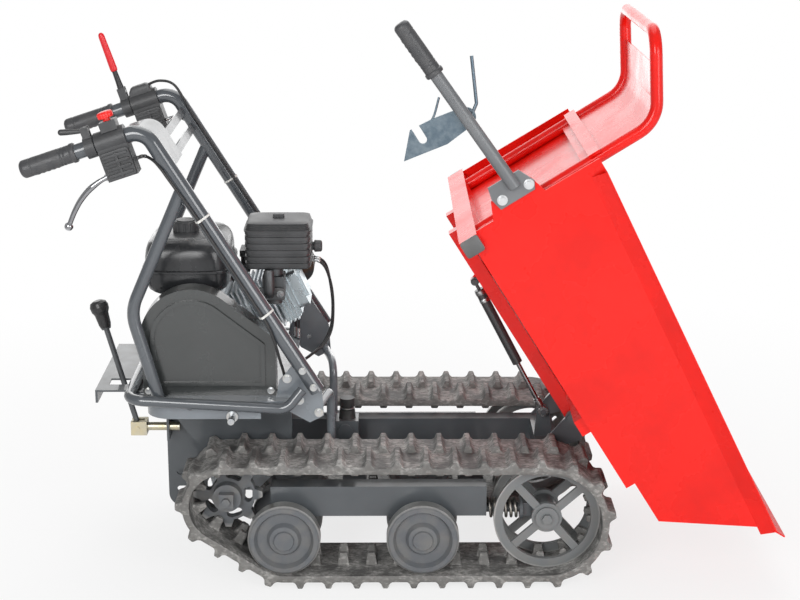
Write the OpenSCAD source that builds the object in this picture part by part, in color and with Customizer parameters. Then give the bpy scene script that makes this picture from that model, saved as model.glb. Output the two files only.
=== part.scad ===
// Tracked power carrier: rubber-tracked chassis, petrol engine, handlebars and a forward-tipping skip.
// Millimetres. X points forward, Y to the far side, Z up. The near side is the side with negative Y.

/* [Tracks] */
// Distance between the centre lines of the two tracks
track_gauge = 440; // [430:2:470]
// Width of one rubber track
track_w = 180; // [170:2:190]
// Thickness of the rubber belt
belt_t = 15; // [12:1:18]
// Height of the tread bars
lug_h = 15; // [10:1:18]
// Nominal length of one link
link_pitch = 60; // [54:1:66]
// Height of the guide horns inside the belt
horn_h = 26; // [20:1:30]
// Number of teeth on the drive sprocket
sprocket_teeth = 8; // [7:1:9]
// Sprocket axle, distance behind the origin
sprocket_x = -381; // [-390:1:-375]
// Sprocket axle, height
sprocket_z = 183; // [178:1:190]
// Radius of the belt's inner face on the sprocket
wrap_r = 74; // [70:1:76]
// Radius of the roller discs
roller_r = 76; // [70:1:78]
// Rear roller axle
rear_roller_x = -260; // [-264:1:-256]
// Front roller axle
front_roller_x = 30; // [24:1:32]
// Radius of the idler rim
idler_r = 112; // [106:1:116]
// Idler axle
idler_x = 291; // [288:1:300]

/* [Frame] */
// Clear gap between the frame rails
rail_gap = 150; // [146:2:154]
// Width of a frame rail
rail_w = 40; // [36:1:40]
// Height of a frame rail
rail_h = 50; // [40:1:50]
// Side of the square cross tubes
cross_side = 50; // [40:1:50]
// Underside of the cross tubes
cross_z = 145; // [143:1:150]
// Width of a track beam
beam_w = 44; // [40:1:48]
// Height of a track beam
beam_h = 66; // [60:1:70]
// Top of the engine tray
tray_z = 400; // [398:1:404]
// Width of the engine tray
tray_w = 524; // [520:2:530]
// Front edge of the engine tray
tray_front = -245; // [-250:1:-240]
// Rear edge of the engine tray
tray_rear = -545; // [-548:1:-545]
// Diameter of the guard rail round the tray
guard_d = 22; // [20:1:22]

/* [Skip] */
// Hinge pin, distance ahead of the origin
hinge_x = 359; // [355:1:362]
// Hinge pin, height
hinge_z = 308; // [306:1:312]
// Angle of the tipped skip
tip_angle = 58; // [50:1:60]
// Outside width of the skip
skip_w = 620; // [610:2:640]
// Floor underside above the hinge pin
floor_h = 53; // [50:1:56]
// Rear wall behind the hinge pin
floor_back = 481; // [478:1:484]
// Front floor edge ahead of the hinge pin
floor_front = 217; // [205:1:225]
// Height of the rear wall
rear_h = 281; // [260:1:300]
// Height of the sloping front wall
front_h = 198; // [180:1:210]
// Forward run of the sloping front wall
front_run = 142; // [120:1:150]
// Sheet thickness
sheet_t = 3; // [2:0.5:4]
// Width of the outward rim
rim_w = 20; // [15:1:22]
// Length of the rear cross member
cross_len = 673; // [666:1:680]
// Diameter of the loop handle tube
loop_d = 26; // [24:1:27]
// Half distance between the loop handle legs
loop_half = 231; // [220:1:235]

/* [Handles] */
// Diameter of the handle tubes
tube_d = 32; // [30:1:32]
// Half distance between the handle tubes
handle_half = 252; // [252:1:256]
// Slope of the grip section
grip_slope = 18.3; // [16:0.1:20]
// Length of a grip
grip_len = 130; // [110:1:135]
// Diameter of a grip
grip_d = 37; // [36:0.5:40]
// Diameter of the tip lever tube
lever_d = 26; // [22:1:26]

/* [Drive] */
// Groove radius of the crank pulley
crank_r = 36; // [32:1:40]
// Groove radius of the gearbox input pulley
input_r = 40; // [34:1:41]
// Crankshaft axis above the tray
crank_up = 115; // [112:1:118]
// Diameter of the gas strut cylinder
strut_d = 22; // [18:1:24]

/* [Hidden] */
$fn = 48;

slate = [0.33, 0.35, 0.37];
skip_red = [0.90, 0.10, 0.06];
black = [0.10, 0.10, 0.11];
rubber_brown = [0.28, 0.25, 0.22];
zinc = [0.75, 0.76, 0.77];
alloy = [0.68, 0.69, 0.70];

// Clearances: running shafts, parts that move past each other, and parts that only lie side by side
run_fit = 0.05;
move_gap = 0.4;
side_gap = 0.2;

// Running gear, worked out from the floor upwards
belt_in = belt_t + lug_h;
idler_z = belt_in + move_gap + idler_r;
roller_z = belt_in + move_gap + roller_r;
half_gauge = track_gauge / 2;
tooth_half = 11;
horn_in = 15;
horn_out = 30;
ring_in = 33;
ring_out = 45;
disc_in = 46;
disc_out = 82;
roller_shaft_r = 17;
idler_shaft_r = 15;
drive_shaft_r = 14;
beam_z = 138;
beam_back = -290;
beam_front = 165;
yoke_shoulder = 236;
yoke_rod_r = 10;

// Frame heights
rail_z = cross_z + cross_side;
rail_top = rail_z + rail_h;
rail_out = rail_gap / 2 + rail_w;
rail_back = -345;
rail_front = 330;
rear_cross_x = -140;
front_cross_x = 112;
tray_t = 5;
tray_under = tray_z - tray_t;
plate_t = 5;
skirt_back = -520;
tow_t = 6;
post_x = -133;
buffer_r = 17;

// Skip frame: along the floor, across, and up from the floor, with the hinge pin at the origin
pin_r = 10;
rail_in = 72;
hinge_rail_w = 30;
hinge_rail_low = -15;
cross_deep = 40;
corner_back = floor_back + 31;
leg_u = floor_back + loop_d / 2 + side_gap;
loop_bend = [-leg_u, 470];
loop_top = [-650, 556];
buffer_top = hinge_z + floor_h - cross_deep - move_gap;

// Tip lever and latch in the skip frame
lever_y = -320;
lever_start = [-550, 165];
lever_end = [-938, 142];
hook_pivot = [-716, 155.4];
hook_pin_r = 6;
hook_slot = [-723, 60];
stud_r = 7;

// Gas strut between the frame lug and the skip lug
strut_y = -50;
strut_low = [298, 305];
strut_lug = [-361, -27];
strut_high = [hinge_x + strut_lug.x * cos(tip_angle) + strut_lug.y * sin(tip_angle),
    hinge_z - strut_lug.x * sin(tip_angle) + strut_lug.y * cos(tip_angle)];
strut_len = norm(strut_high - strut_low);
strut_tilt = atan2(strut_high.y - strut_low.y, strut_high.x - strut_low.x);
rod_r = 5;
rod_pin_r = 6;

// Handle tube corner points in side view
grip_end = [-770.6, 883.5];
tube_bend = grip_end + 258 * [cos(grip_slope), sin(grip_slope)];
tube_foot = [-188, 420];
tube_r = tube_d / 2;
tube_dir = (tube_foot - tube_bend) / norm(tube_foot - tube_bend);
strut_r = 13;

// Engine and belt drive
engine_z = tray_z;
crank = [-447, engine_z + crank_up];
input = [-322, engine_z + 48];
tower_x = -340;
belt_half = 5;
belt_deep = 8;
bore_face = [-368, engine_z + 120];
bore_tilt = 25;
cover_gap = 17;
cover_deep = 52;
cover_out = -(handle_half - strut_r - cover_gap);
cover_in = cover_out + cover_deep;
belt_y = cover_out + cover_deep / 2;
cover_left = -551;
cover_right = -275;
cover_arc_r = 108;

// Gear lever pivot and lean
shift_pivot = [-583, -100, 290];
lever_lean = 15.2;
gate_z = tray_under - 4;

function unit(v) = v / norm(v);

module both() {
    children();
    mirror([0, 1, 0]) children();
}

// Extrudes a side-view outline from y0 to y1
module slab(y0, y1) {
    translate([0, y1, 0]) rotate([90, 0, 0]) linear_extrude(y1 - y0) children();
}

// Round bar from y0 to y1 at a point of the side view
module pin(p, r, y0, y1) {
    translate([p.x, y1, p.y]) rotate([90, 0, 0]) cylinder(h = y1 - y0, r = r);
}

// Round bar between two points
module bar(a, b, r) {
    d = b - a;
    translate(a) rotate([0, acos(d.z / norm(d)), atan2(d.y, d.x)]) cylinder(h = norm(d), r = r);
}

// Turns its flat section through the bend at p between the directions a and b
module bend_at(p, a, b, bend_r) {
    n = unit(b - (a * b) * a);
    c = p - a * bend_r * tan(acos(a * b) / 2) + n * bend_r;
    z = cross(a, n);
    multmatrix([[-n.x, a.x, z.x, c.x], [-n.y, a.y, z.y, c.y], [-n.z, a.z, z.z, c.z], [0, 0, 0, 1]])
        rotate_extrude(angle = acos(a * b)) translate([bend_r, 0]) children();
}

function bend_trim(pts, i, bend_r) = i == 0 || i == len(pts) - 1 ? 0
    : bend_r * tan(acos(unit(pts[i] - pts[i - 1]) * unit(pts[i + 1] - pts[i])) / 2);

// Round tube along corner points, with an arc of radius bend_r at each corner. The straights reach a
// little way over the bends, which are drawn thinner by the same small step as a pipe bend
lap = 1.5;
lap_step = 0.1;
module tube_run(pts, r, bend_r) {
    last = len(pts) - 1;
    for (i = [0:last - 1]) {
        d = unit(pts[i + 1] - pts[i]);
        from = i == 0 ? 0 : bend_trim(pts, i, bend_r) - lap;
        to = i == last - 1 ? 0 : bend_trim(pts, i + 1, bend_r) - lap;
        bar(pts[i] + d * from, pts[i + 1] - d * to, r);
    }
    for (i = [1:1:last - 1])
        bend_at(pts[i], unit(pts[i] - pts[i - 1]), unit(pts[i + 1] - pts[i]), bend_r) circle(r - lap_step);
}

function side(p, y) = [p.x, y, p.y];

// Swept tube of 8 sides through a list of points, for the control cables
function ring_frame(pts, i) = let (
    last = len(pts) - 1,
    d = unit(pts[min(i + 1, last)] - pts[max(i - 1, 0)]),
    across = unit(cross(d, abs(d.y) < 0.9 ? [0, 1, 0] : [1, 0, 0])))
    [across, cross(d, across)];

module cable(pts, r) {
    sides = 8;
    last = len(pts) - 1;
    rings = [for (i = [0:last]) let (f = ring_frame(pts, i))
        for (k = [0:sides - 1]) pts[i] + r * (f[0] * cos(360 * k / sides) + f[1] * sin(360 * k / sides))];
    walls = [for (i = [0:last - 1], k = [0:sides - 1], half = [0, 1]) let (
        a = i * sides + k,
        b = i * sides + (k + 1) % sides)
        half == 0 ? [a, a + sides, b] : [b, a + sides, b + sides]];
    polyhedron(rings, concat(walls, [[for (k = [0:sides - 1]) k]],
        [[for (k = [sides - 1:-1:0]) last * sides + k]]));
}

// Rounds a hand-chosen route with a curve through its points
function curve_point(a, b, c, d, t) = 0.5 * ((2 * b) + (c - a) * t + (2 * a - 5 * b + 4 * c - d) * t * t
    + (3 * b - a - 3 * c + d) * t * t * t);
function smooth_route(p, steps) = let (last = len(p) - 1) concat(
    [for (i = [0:last - 1], k = [0:steps - 1])
        curve_point(p[max(i - 1, 0)], p[i], p[i + 1], p[min(i + 2, last)], k / steps)], [p[last]]);

// Track loop: arcs on the sprocket, rear roller and idler joined by straight runs
loop_c = [[sprocket_x, sprocket_z], [rear_roller_x, roller_z], [idler_x, idler_z]];
loop_r = [wrap_r, roller_r + move_gap, idler_r + move_gap];
neutral = sprocket_teeth * link_pitch / (2 * PI) - wrap_r;
function run_vec(k) = loop_c[(k + 1) % 3] - loop_c[k];
function run_step(k) = loop_r[k] - loop_r[(k + 1) % 3];
loop_n = [for (k = [0:2]) atan2(run_vec(k).y, run_vec(k).x) - acos(run_step(k) / norm(run_vec(k)))];
function arc_from(k) = loop_n[(k + 2) % 3];
function arc_turn(k) = ((loop_n[k] - arc_from(k)) % 360 + 360) % 360;
loop_seg = [for (k = [0:2], half = [0, 1]) half == 0 ? (loop_r[k] + neutral) * arc_turn(k) * PI / 180
    : sqrt(norm(run_vec(k)) ^ 2 - run_step(k) ^ 2)];
loop_len = loop_seg * [1, 1, 1, 1, 1, 1];
links = round(loop_len / link_pitch);
pitch = loop_len / links;
function seg_find(s, i = 0) = i == 5 || s <= loop_seg[i] ? [i, s] : seg_find(s - loop_seg[i], i + 1);
function facing(a) = [cos(a), sin(a)];

// Point of the loop at length s, lifted h out of the belt's inner face
function loop_point(s, h) = let (
    found = seg_find((s % loop_len + loop_len) % loop_len),
    k = floor(found[0] / 2),
    a = found[0] % 2 == 0 ? arc_from(k) + found[1] / (loop_r[k] + neutral) * 180 / PI : loop_n[k],
    along = found[0] % 2 == 0 ? 0 : found[1])
    loop_c[k] + (loop_r[k] + h) * facing(a) + along * facing(a + 90);

// Tread bar: share of the pitch, share of the bar height
tread_bar = [[-0.24, 0], [-0.15, 0.3], [-0.08, 1], [0.08, 1], [0.15, 0.3], [0.24, 0], [0.5, 0]];

module belt_section(phase) {
    difference() {
        polygon([for (i = [0:links - 1], b = tread_bar)
            loop_point((i + phase + b[0]) * pitch, belt_t + b[1] * lug_h)]);
        for (k = [0:2]) translate(loop_c[k]) circle(loop_r[k]);
        polygon([for (k = [0:2], e = [0, 1])
            loop_c[(k + e) % 3] + loop_r[(k + e) % 3] * facing(loop_n[k])]);
    }
}

module horn_section() {
    base = 12;
    tip = 8;
    sunk = 3;
    for (i = [0:links - 1]) {
        s = (i + 0.5) * pitch;
        polygon([loop_point(s - base, sunk), loop_point(s + base, sunk),
            loop_point(s + tip, -horn_h), loop_point(s - tip, -horn_h)]);
    }
}

module track() {
    color(rubber_brown) translate([0, -half_gauge, 0]) {
        slab(-track_w / 2, 0) belt_section(0);
        slab(0, track_w / 2) belt_section(0.5);
        both() slab(-horn_out, -horn_in) horn_section();
    }
}

module track_near() { track(); }
module track_far() { mirror([0, 1, 0]) track(); }

// Drive sprocket: toothed plate with oval lightening holes on a hub, fixed to its axle shaft
module sprocket() {
    root_r = 58;
    tip_r = wrap_r - 0.8;
    hub_r = 30;
    tooth_root = 13;
    tooth_tip = 6;
    oval_at = 44;
    oval_r = 8;
    color(slate) translate([sprocket_x, -half_gauge, sprocket_z]) rotate([90, 0, 0]) {
        translate([0, 0, -tooth_half]) linear_extrude(2 * tooth_half) difference() {
            union() {
                circle(root_r);
                for (i = [0:sprocket_teeth - 1]) rotate(arc_from(0) + i * 360 / sprocket_teeth)
                    polygon([[root_r - 4, -tooth_root], [tip_r, -tooth_tip],
                        [tip_r, tooth_tip], [root_r - 4, tooth_root]]);
            }
            for (i = [0:4]) rotate(i * 72) {
                for (t = [-12, 12]) rotate(t) translate([oval_at, 0]) circle(oval_r);
                translate([oval_at - oval_r, -9]) square([2 * oval_r, 18]);
            }
        }
        translate([0, 0, tooth_half]) cylinder(h = 24, r = hub_r);
        translate([0, 0, tooth_half + 24]) linear_extrude(18) square(30, center = true);
        translate([0, 0, tooth_half + 42]) cylinder(h = 8, r = 9, $fn = 6);
        translate([0, 0, -half_gauge + 80]) cylinder(h = half_gauge - 80, r = drive_shaft_r);
    }
}

module sprocket_near() { sprocket(); }
module sprocket_far() { mirror([0, 1, 0]) sprocket(); }

// Spoked idler: two rings with four spokes each on one shaft, so that the horns pass between the rings
module idler() {
    rim_deep = 19;
    hub_r = 32;
    spoke_w = 17;
    color(slate) translate([idler_x, -half_gauge, idler_z]) rotate([90, 0, 0]) {
        for (m = [0, 1]) mirror([0, 0, m]) {
            translate([0, 0, ring_in]) {
                linear_extrude(ring_out - ring_in) difference() {
                    circle(idler_r);
                    circle(idler_r - rim_deep);
                }
                linear_extrude(ring_out - ring_in) circle(hub_r);
                translate([0, 0, 2]) linear_extrude(8) for (i = [0:3]) rotate(42 + 90 * i)
                    translate([hub_r - 4, -spoke_w / 2]) square([idler_r - rim_deep - hub_r + 8, spoke_w]);
            }
            translate([0, 0, ring_out]) cylinder(h = 6, r = 24);
            translate([0, 0, ring_out + 6]) cylinder(h = 7, r = 11, $fn = 6);
        }
        cylinder(h = 2 * ring_in, r = idler_shaft_r, center = true);
    }
}

module idler_near() { idler(); }
module idler_far() { mirror([0, 1, 0]) idler(); }

// Roller: two dished discs on a shaft that turns in a bearing tube below the track beam
module roller(x) {
    rim = 14;
    color(slate) translate([x, -half_gauge, roller_z]) rotate([90, 0, 0]) {
        for (m = [0, 1]) mirror([0, 0, m]) rotate_extrude() polygon([[0, disc_in], [roller_r - 4, disc_in],
            [roller_r, disc_in + 4], [roller_r, disc_out - 5], [roller_r - 5, disc_out],
            [roller_r - rim, disc_out], [roller_r - rim - 6, disc_out - 12], [36, disc_out - 12],
            [30, disc_out - 2], [22, disc_out], [20, disc_out + 4], [0, disc_out + 4]]);
        cylinder(h = 2 * disc_in, r = roller_shaft_r, center = true);
    }
}

module roller_near_rear() { roller(rear_roller_x); }
module roller_near_front() { roller(front_roller_x); }
module roller_far_rear() { mirror([0, 1, 0]) roller(rear_roller_x); }
module roller_far_front() { mirror([0, 1, 0]) roller(front_roller_x); }

// Track beam with a bearing tube and web for each roller and a bored end for the yoke rod
module track_frame() {
    tube_out = 28;
    web_half = 18;
    color(slate) translate([0, -half_gauge, 0]) difference() {
        union() {
            translate([beam_back, -beam_w / 2, beam_z]) cube([beam_front - beam_back, beam_w, beam_h]);
            for (x = [rear_roller_x, front_roller_x]) {
                pin([x, roller_z], tube_out, -disc_in + 4, disc_in - 4);
                translate([x - 22, -web_half, roller_z]) cube([44, 2 * web_half, beam_z - roller_z + 4]);
            }
        }
        for (x = [rear_roller_x, front_roller_x])
            pin([x, roller_z], roller_shaft_r + run_fit, -disc_in, disc_in);
        bar([100, 0, idler_z + 6], [beam_front + 1, 0, idler_z + 6], yoke_rod_r + side_gap);
    }
}

module track_frame_near() { track_frame(); }
module track_frame_far() { mirror([0, 1, 0]) track_frame(); }

// Idler yokes: bearing tube on a stem whose rod slides in the end of the track beam
module idler_yokes() {
    tube_out = 26;
    stem = 30;
    rod_z = idler_z + 6;
    color(slate) both() translate([0, -half_gauge, 0]) difference() {
        union() {
            pin([idler_x, idler_z], tube_out, -ring_in + 5, ring_in - 5);
            translate([yoke_shoulder, -stem / 2, rod_z - stem / 2])
                cube([idler_x - yoke_shoulder, stem, stem]);
            translate([yoke_shoulder, 0, rod_z]) rotate([0, 90, 0]) cylinder(h = 6, r = 26);
            bar([110, 0, rod_z], [yoke_shoulder + 1, 0, rod_z], yoke_rod_r);
        }
        pin([idler_x, idler_z], idler_shaft_r + run_fit, -ring_in, ring_in);
    }
}

// Tension springs: one round wire each, wound between the beam end and the yoke shoulder
spring_curls = 6;
spring_wire_r = 3.2;
spring_mean_r = 19;
spring_x0 = beam_front + spring_wire_r + side_gap;
spring_x1 = yoke_shoulder - spring_wire_r - side_gap;
spring_pts = [for (i = [0:spring_curls * 8]) let (a = 45 * i)
    [spring_x0 + (spring_x1 - spring_x0) * i / (spring_curls * 8),
        spring_mean_r * cos(a), spring_mean_r * sin(a)]];
spring_gap = min([for (i = [0:len(spring_pts) - 9], k = [6:10])
    i + k < len(spring_pts) ? norm(spring_pts[i] - spring_pts[i + k]) - 2 * spring_wire_r : 99]);
echo(spring_gap = spring_gap);

module spring() {
    sides = 6;
    last = len(spring_pts) - 1;
    rings = [for (i = [0:last]) let (a = 45 * i, out = [0, cos(a), sin(a)])
        for (k = [0:sides - 1]) spring_pts[i]
            + spring_wire_r * (out * cos(60 * k) + [1, 0, 0] * sin(60 * k))];
    walls = [for (i = [0:last - 1], k = [0:sides - 1], half = [0, 1]) let (
        a = i * sides + k,
        b = i * sides + (k + 1) % sides)
        half == 0 ? [a, a + sides, b] : [b, a + sides, b + sides]];
    polyhedron(rings, concat(walls, [[for (k = [0:sides - 1]) k]],
        [[for (k = [sides - 1:-1:0]) last * sides + k]]));
}

module tension_springs() {
    color(zinc) both() translate([0, -half_gauge, idler_z + 6]) spring();
}

// Frame rails with a tie between them below the hinge
module frame_rails() {
    tie_x = 280;
    color(slate) {
        both() translate([rail_back, -rail_out, rail_z]) cube([rail_front - rail_back, rail_w, rail_h]);
        translate([tie_x, -rail_gap / 2 - 2, rail_z + 10])
            cube([rail_front - tie_x, rail_gap + 4, rail_h - 10]);
    }
}

// Cross tubes from beam to beam below the rails, and the buffer post on the rear one
module cross_tubes() {
    reach = half_gauge - beam_w / 2;
    post_half = 25;
    post_top = buffer_top - 46;
    color(slate) {
        for (x = [rear_cross_x, front_cross_x])
            translate([x, -reach, cross_z]) cube([cross_side, 2 * reach, cross_side]);
        difference() {
            translate([post_x - post_half, -27, rail_z - 1]) cube([2 * post_half, 54, post_top - rail_z + 1]);
            translate([post_x - 60, -28, rail_z - 40]) cube([60 - 7, 56, 70]);
        }
        pin([post_x - 4, post_top - 24], 17, -32, 32);
    }
}

// Rubber buffer that carries the lowered skip
module buffer() {
    low = buffer_top - 46;
    color(black) translate([post_x, 0, low]) rotate_extrude() polygon([[0, 0], [buffer_r + 2, 0],
        [buffer_r, 20], [buffer_r - 4, 22], [buffer_r - 4, 25], [buffer_r, 27], [buffer_r - 1, 46], [0, 46]]);
}

// Hinge towers with their fixed pins, and the lug of the gas strut
module hinge_towers() {
    tower_y0 = rail_in + hinge_rail_w + 2;
    tower_t = 8;
    head = 19;
    p = [hinge_x, hinge_z];
    color(slate) {
        both() {
            slab(-tower_y0 - tower_t, -tower_y0) {
                translate(p) circle(head);
                polygon([[285, rail_top], [330, rail_top], [p.x + 16, p.y - 48], p + head * facing(-20),
                    p, p + head * facing(175)]);
            }
            pin(p, pin_r, -tower_y0 - tower_t - 6, -rail_in + 4);
            pin(p, pin_r + 5, -tower_y0 - tower_t - 6, -tower_y0 - tower_t);
            pin(p, pin_r + 4, -rail_in + move_gap, -rail_in + 4);
        }
        slab(strut_y + 6 + move_gap, strut_y + 13) {
            translate(strut_low) circle(13);
            polygon([[strut_low.x - 18, rail_top], [strut_low.x + 22, rail_top],
                strut_low + [13, 0], strut_low - [13, 0]]);
        }
        pin(strut_low, rod_pin_r, strut_y - 8, strut_y + 9);
    }
}

// Skirt plates beside the gearbox, their rear plate, and the slotted tow plates below
module rear_skirt() {
    out = rail_out + plate_t;
    color(slate) {
        both() slab(-out, -rail_out) polygon([[skirt_back, tray_under], [skirt_back, 345], [-436, 232],
            [-420, 228], [-250, 262], [-248, tray_under]]);
        difference() {
            translate([skirt_back, -rail_out - 1, 262]) cube([plate_t, 2 * rail_out + 2, tray_under - 262]);
            translate([skirt_back - 1, shift_pivot.y, shift_pivot.z]) rotate([0, 90, 0])
                cylinder(h = plate_t + 2, r = 9 + run_fit);
        }
        difference() {
            both() slab(-rail_gap / 2, -rail_gap / 2 + tow_t) {
                translate([-495, 125]) circle(30);
                polygon([[-525, 125], [-525, 262], [skirt_back, 262], [skirt_back, 300], [-470, 300],
                    [-440, 240], [-440, 125], [-470, 95], [-495, 95]]);
            }
            for (z = [135, 175]) pin([-500, z], 7, -rail_gap, rail_gap);
            for (z = [135, 175]) translate([-500, -rail_gap, z - 7]) cube([30, 2 * rail_gap, 14]);
        }
        translate([-525, -rail_gap / 2 + tow_t - 1, 150]) cube([tow_t, rail_gap - 2 * tow_t + 2, 85]);
    }
}

// Gearbox: ribbed housing between the rails, input tower through the tray, axle tubes to the sprockets
module gearbox() {
    half = rail_gap / 2 - tow_t - 3;
    color(alloy) difference() {
        union() {
            slab(-half, half)
                polygon([[-425, 130], [-335, 130], [-300, 165], [-292, 372], [-430, 372], [-432, 160]]);
            for (y = [-half + 14, 0, half - 14]) slab(y - 3, y + 3)
                polygon([[-429, 124], [-333, 124], [-294, 163], [-288, tray_under],
                    [-432, tray_under], [-436, 158]]);
            translate([tower_x, -108, 352]) cube([40, 62, tray_z - 344]);
            translate([tower_x, -160, tray_z + 5]) cube([40, 105, 58]);
            both() pin([sprocket_x, sprocket_z], 27, -half_gauge + 50, 0);
            both() pin([sprocket_x, sprocket_z], 34, -rail_gap / 2 - 8, 0);
        }
        both() pin([sprocket_x, sprocket_z], drive_shaft_r + run_fit, -half_gauge, -76);
        pin(input, 10 + run_fit, -161, -90);
    }
}

// Engine tray: top plate with turned-down walls, handle gussets at the front corners and frame stays
module engine_tray() {
    half = tray_w / 2;
    wall_low = 362;
    corner = 55;
    wall = 4;
    gusset_y = handle_half - tube_r - side_gap;
    rail_mid = rail_out - rail_w / 2;
    stay_z = 372;
    module tray_outline(inset) {
        r = corner - inset;
        for (y = [-1, 1]) translate([tray_rear + corner, y * (half - corner)]) circle(r);
        translate([tray_rear + inset, -half + corner]) square([2 * corner, tray_w - 2 * corner]);
        translate([tray_rear + corner, -half + inset])
            square([tray_front - tray_rear - corner - inset, tray_w - 2 * inset]);
    }
    color(slate) {
        difference() {
            union() {
                translate([0, 0, tray_under]) linear_extrude(tray_t) tray_outline(0);
                translate([0, 0, wall_low]) linear_extrude(tray_under - wall_low + 1) difference() {
                    tray_outline(0);
                    tray_outline(wall);
                    translate([tray_front - 60, -half]) square([100, tray_w]);
                }
            }
            translate([tower_x - 4, -112, tray_under - 1]) cube([48, 70, tray_t + 2]);
        }
        both() {
            difference() {
                slab(-gusset_y, -gusset_y + plate_t) polygon([[-275, tray_under + 1], [-268, 436],
                    [-226, 486], [-180, 424], [-176, 360], [-205, 345], [-246, 368], [-262, tray_under + 1]]);
                for (p = [[-251, 441], [-226, 394]])
                    pin(p, 5, -gusset_y - 1, -gusset_y + plate_t + 1);
            }
            tube_run([[-192, -gusset_y + plate_t / 2, stay_z], [-166, -rail_mid, stay_z],
                [-166, -rail_mid, rail_top + 1]], 9, 30);
            translate([-182, -rail_out + 4, rail_top]) cube([32, rail_w - 8, 8]);
        }
    }
}

// Guard rail round the tray, with short stubs to the tray walls
module guard_rail() {
    y = max(tray_w / 2 + 6, handle_half + strut_r + 3) + guard_d / 2;
    r = guard_d / 2;
    stub = y - r + 4 - tray_w / 2;
    back = tray_rear - 32;
    color(slate) {
        tube_run([[-218, -y + 8, 428], [-250, -y, 389], [back, -y, 409], [back, y, 409],
            [-250, y, 389], [-218, y - 8, 428]], r, 34);
        both() for (x = [-330, -450]) translate([x, -tray_w / 2, 391]) rotate([90, 0, 0])
            cylinder(h = stub, r = 7);
        both() translate([tray_rear, -190, 393]) rotate([0, -90, 0]) cylinder(h = 34, r = 7);
    }
}

// Crankcase: cast block with a sloping face for the cylinder, foot flange and side bearing boss
module crankcase() {
    f = facing(bore_tilt + 90);
    top = bore_face + 62 * f;
    low = bore_face - 62 * f;
    z0 = engine_z;
    color(alloy) difference() {
        union() {
            slab(-92, 92) polygon([[-530, z0 + 10], [-352, z0 + 10], [-350, z0 + 52], low, top,
                [-420, z0 + 190], [-515, z0 + 190], [-530, z0 + 165]]);
            slab(-95, 95) polygon([[-536, z0], [-348, z0], [-348, z0 + 12], [-536, z0 + 12]]);
            pin(crank, 52, -98, 0);
            pin(crank, 30, -112, 0);
            for (x = [-505, -480, -400]) slab(-95, 95) polygon([[x, z0 + 10], [x + 6, z0 + 10],
                [x + 6, z0 + 60], [x, z0 + 60]]);
        }
        pin(crank, 9 + run_fit, -113, -70);
    }
}

// Finned cylinder barrel, tilted forward off the crankcase face
module cylinder_barrel() {
    fins = 8;
    color(alloy) translate([bore_face.x, 0, bore_face.y]) rotate([0, -bore_tilt, 0]) {
        translate([0, -58, -56]) cube([7, 116, 112]);
        rotate([0, 90, 0]) translate([0, 0, 1]) cylinder(h = 94, r = 44);
        for (i = [0:fins - 1]) translate([13 + i * 10.5, -64, -58]) cube([4, 128, 116]);
    }
}

// Cylinder head with fins, and the pressed rocker cover on its end
module cylinder_head() {
    color(alloy) translate([bore_face.x, 0, bore_face.y]) rotate([0, -bore_tilt, 0]) {
        translate([95, -56, -54]) cube([34, 112, 108]);
        for (i = [0:2]) translate([100 + i * 10, -64, -58]) cube([4, 128, 116]);
        translate([129, 0, 0]) rotate([0, 90, 0]) {
            linear_extrude(5) square([100, 108], center = true);
            linear_extrude(26) {
                square([64, 92], center = true);
                square([84, 72], center = true);
                for (u = [-32, 32], v = [-36, 36]) translate([u, v]) circle(10);
            }
            linear_extrude(32) square([50, 60], center = true);
        }
    }
}

// Spark plug cap on the head's upper corner
module spark_plug() {
    color(black) translate([bore_face.x, 0, bore_face.y]) rotate([0, -bore_tilt, 0])
        translate([112, 34, 58]) {
            cylinder(h = 30, r = 8);
            translate([-6, 0, 30]) rotate([0, 90, 0]) cylinder(h = 50, r = 11);
        }
}

// Fuel tank: rounded box with a seam flange and filler neck, seated on the crankcase
tank_c = [-466, -32];
tank_low = engine_z + 190;
module fuel_tank() {
    size = [180, 236];
    r = 34;
    module outline(grow) {
        w = size + [2 * grow, 2 * grow];
        square([w.x - 2 * r, w.y], center = true);
        square([w.x, w.y - 2 * r], center = true);
        for (x = [-1, 1], y = [-1, 1]) translate([x * (w.x / 2 - r), y * (w.y / 2 - r)]) circle(r);
    }
    color(black) translate([tank_c.x, tank_c.y, tank_low]) {
        linear_extrude(8) outline(-22);
        translate([0, 0, 8]) linear_extrude(10) outline(-8);
        translate([0, 0, 18]) linear_extrude(86) outline(0);
        translate([0, 0, 52]) linear_extrude(7) outline(6);
        translate([0, 0, 104]) linear_extrude(8) outline(-4);
        translate([0, 0, 112]) linear_extrude(8) outline(-14);
        translate([-8, 0, 120]) cylinder(h = 14, r = 20);
    }
}

module fuel_cap() {
    color(black) translate([tank_c.x - 8, tank_c.y, tank_low + 120 + move_gap]) difference() {
        union() {
            linear_extrude(18) difference() {
                circle(28);
                for (i = [0:11]) rotate(30 * i) translate([29, 0]) circle(2.6);
            }
            translate([0, 0, 17]) cylinder(h = 4, r = 25);
            translate([0, 0, 20]) cylinder(h = 3, r = 20);
        }
        translate([0, 0, -1]) cylinder(h = 16, r = 20 + run_fit);
    }
}

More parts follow.
